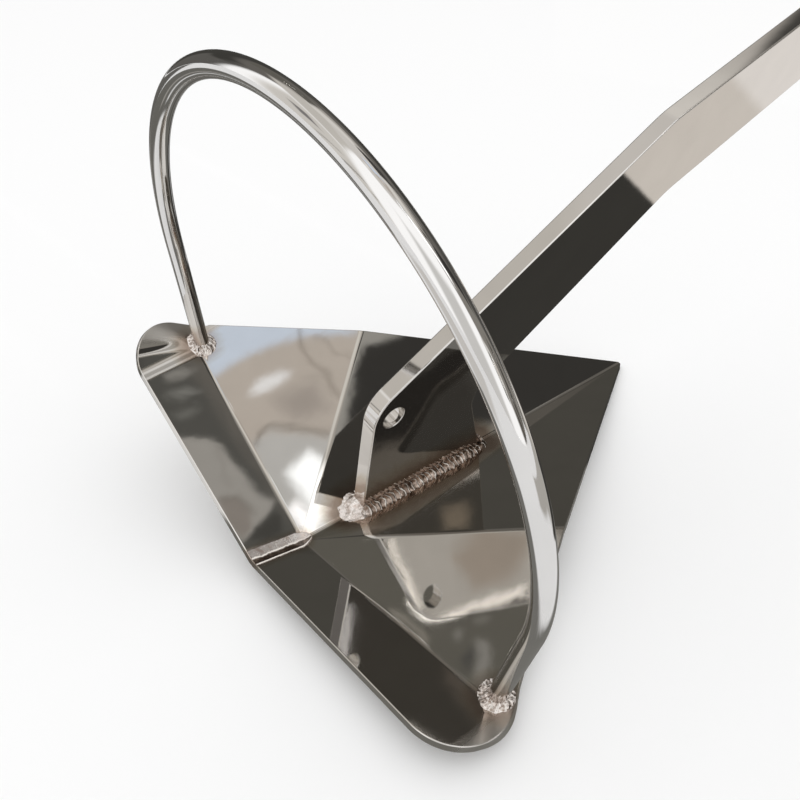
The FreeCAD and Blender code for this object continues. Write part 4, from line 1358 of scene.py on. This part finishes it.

# floor cloths that the polished metal mirrors, with painted shadow of the anchor among them: outline on the floor in
# metres, soft, colour
CLOTHS_AND_PAINTED_SHADOW = [
    ([(-0.50, 0.03), (-0.62, -0.08), (-1.28, -0.30), (-1.28, 0.32), (-0.60, 0.30)], 0.06, (0.74, 0.72, 0.69)),
    # painted shadow: the anchor's own shadow on the floor round and beneath it, dark grey
    ([(-0.50, 0.04), (-0.49, -0.11), (-0.42, -0.165), (-0.37, -0.21), (-0.30, -0.245), (-0.20, -0.255), (-0.03, -0.27),
      (-0.03, 0.10), (-0.20, 0.20), (-0.36, 0.12)], 0.025, (0.21, 0.205, 0.19)),
    ([(-0.05, -0.36), (-0.05, 0.10), (-0.30, 0.27), (-0.50, 0.33), (-0.64, 0.60), (-0.74, 1.3), (1.5, 1.3), (1.5, -0.15), (0.72, -0.15),
      (0.72, -0.36)], 0.03, (0.17, 0.165, 0.15)),
    ([(0.00, -0.36), (0.00, -0.56), (-0.34, -0.70), (-0.34, -1.28), (1.5, -1.28), (1.5, -0.46), (0.72, -0.36)], 0.10,
     (0.52, 0.50, 0.465)),
    ([(0.33, -0.15), (0.33, 0.5), (0.9, 0.5), (0.9, -0.15)], 0.05, (0.30, 0.28, 0.25)),
    ([(0.345, -0.38), (0.345, -0.12), (1.5, -0.12), (1.5, -0.50), (0.80, -0.42)], 0.012, (0.80, 0.75, 0.69)),
    ([(0.74, -0.12), (0.80, -0.42), (1.5, -0.50), (1.5, -0.12)], 0.06, (0.98, 0.94, 0.90)),
    # painted shade: near black beside the fluke's starboard edge
    ([(-0.055, -0.32), (-0.055, 0.10), (0.02, 0.62), (0.12, 0.62), (0.345, 0.05), (0.345, -0.36)], 0.012, (0.052, 0.050, 0.045)),
]
CLOTH_LINES = [
    ([(-0.235, 0.26), (-0.23, 0.60), (-0.26, 1.2)], 0.016, 0.012, (1.0, 1.0, 1.0)),
    ([(0.085, 0.30), (0.10, 0.60), (0.13, 1.2)], 0.022, 0.012, (1.0, 1.0, 1.0)),
    ([(-0.37, 0.36), (-0.385, 0.60), (-0.42, 1.2)], 0.022, 0.016, (1.0, 1.0, 1.0)),
    ([(-0.12, 0.30), (-0.12, 1.0)], 0.03, 0.03, (0.07, 0.068, 0.06)),
    ([(-0.46, 0.44), (-0.50, 1.2)], 0.02, 0.02, (0.48, 0.46, 0.43)),
]


def make_cloths_and_painted_shadow(name, x0, x1, y0, y1, step, z):
    xs, ys = np.arange(x0, x1 + step, step), np.arange(y0, y1 + step, step)
    X, Y = np.meshgrid(xs, ys, indexing="ij")
    p = np.stack([X, Y], -1).reshape(-1, 2)
    col, cover = np.full((len(p), 3), 0.97), np.zeros(len(p))
    for pts, soft, c in CLOTHS_AND_PAINTED_SHADOW:
        k = panel(p, pts, soft)
        cover = np.maximum(cover, k)
        col = col * (1 - k[:, None]) + np.array(c) * k[:, None]
    for pts, width, soft, c in CLOTH_LINES:
        k = stroke(p, pts, width, soft)
        col = col * (1 - k[:, None]) + np.array(c) * k[:, None]
    faces = [f for f in quads(len(xs), len(ys)) if max(cover[i] for i in f) > 0]
    glow_mesh(name, np.column_stack([p, np.full(len(p), z)]), faces, col)


# the floor patches hold the cloths and the painted shadow of the anchor
make_cloths_and_painted_shadow("floor_cloths_and_painted_shadow", -1.30, 1.50, -1.30, 1.30, 0.0125, 0.0003)
make_cloths_and_painted_shadow("floor_cloths_fine", -0.10, 0.90, -0.36, -0.05, 0.004, 0.0005)
far = np.array([(1.5, -1.2, 0.0003), (12, -9, 0.0003), (12, 10, 0.0003), (1.5, 1.3, 0.0003)])
glow_mesh("floor_far", far, [(0, 1, 2, 3)], np.tile([[0.27, 0.255, 0.23]], (4, 1)))
far = np.array([(-0.62, 1.3, 0.0003), (1.5, 1.3, 0.0003), (12, 10, 0.0003), (12, 14, 0.0003), (-4.4, 14, 0.0003)])
glow_mesh("floor_far_port", far, [(0, 1, 2, 3, 4)], np.tile([[0.14, 0.135, 0.125]], (5, 1)))

world = bpy.data.worlds.new("studio")
bpy.context.scene.world = world
world.use_nodes = True
bg = world.node_tree.nodes.get("Background")
bg.inputs[0].default_value = C(1.0, 1.0, 1.0)
bg.inputs[1].default_value = 1.08
bpy.context.scene.view_settings.view_transform = "Standard"

# ------------------------------------------------------------------ update
bpy.context.view_layer.update()
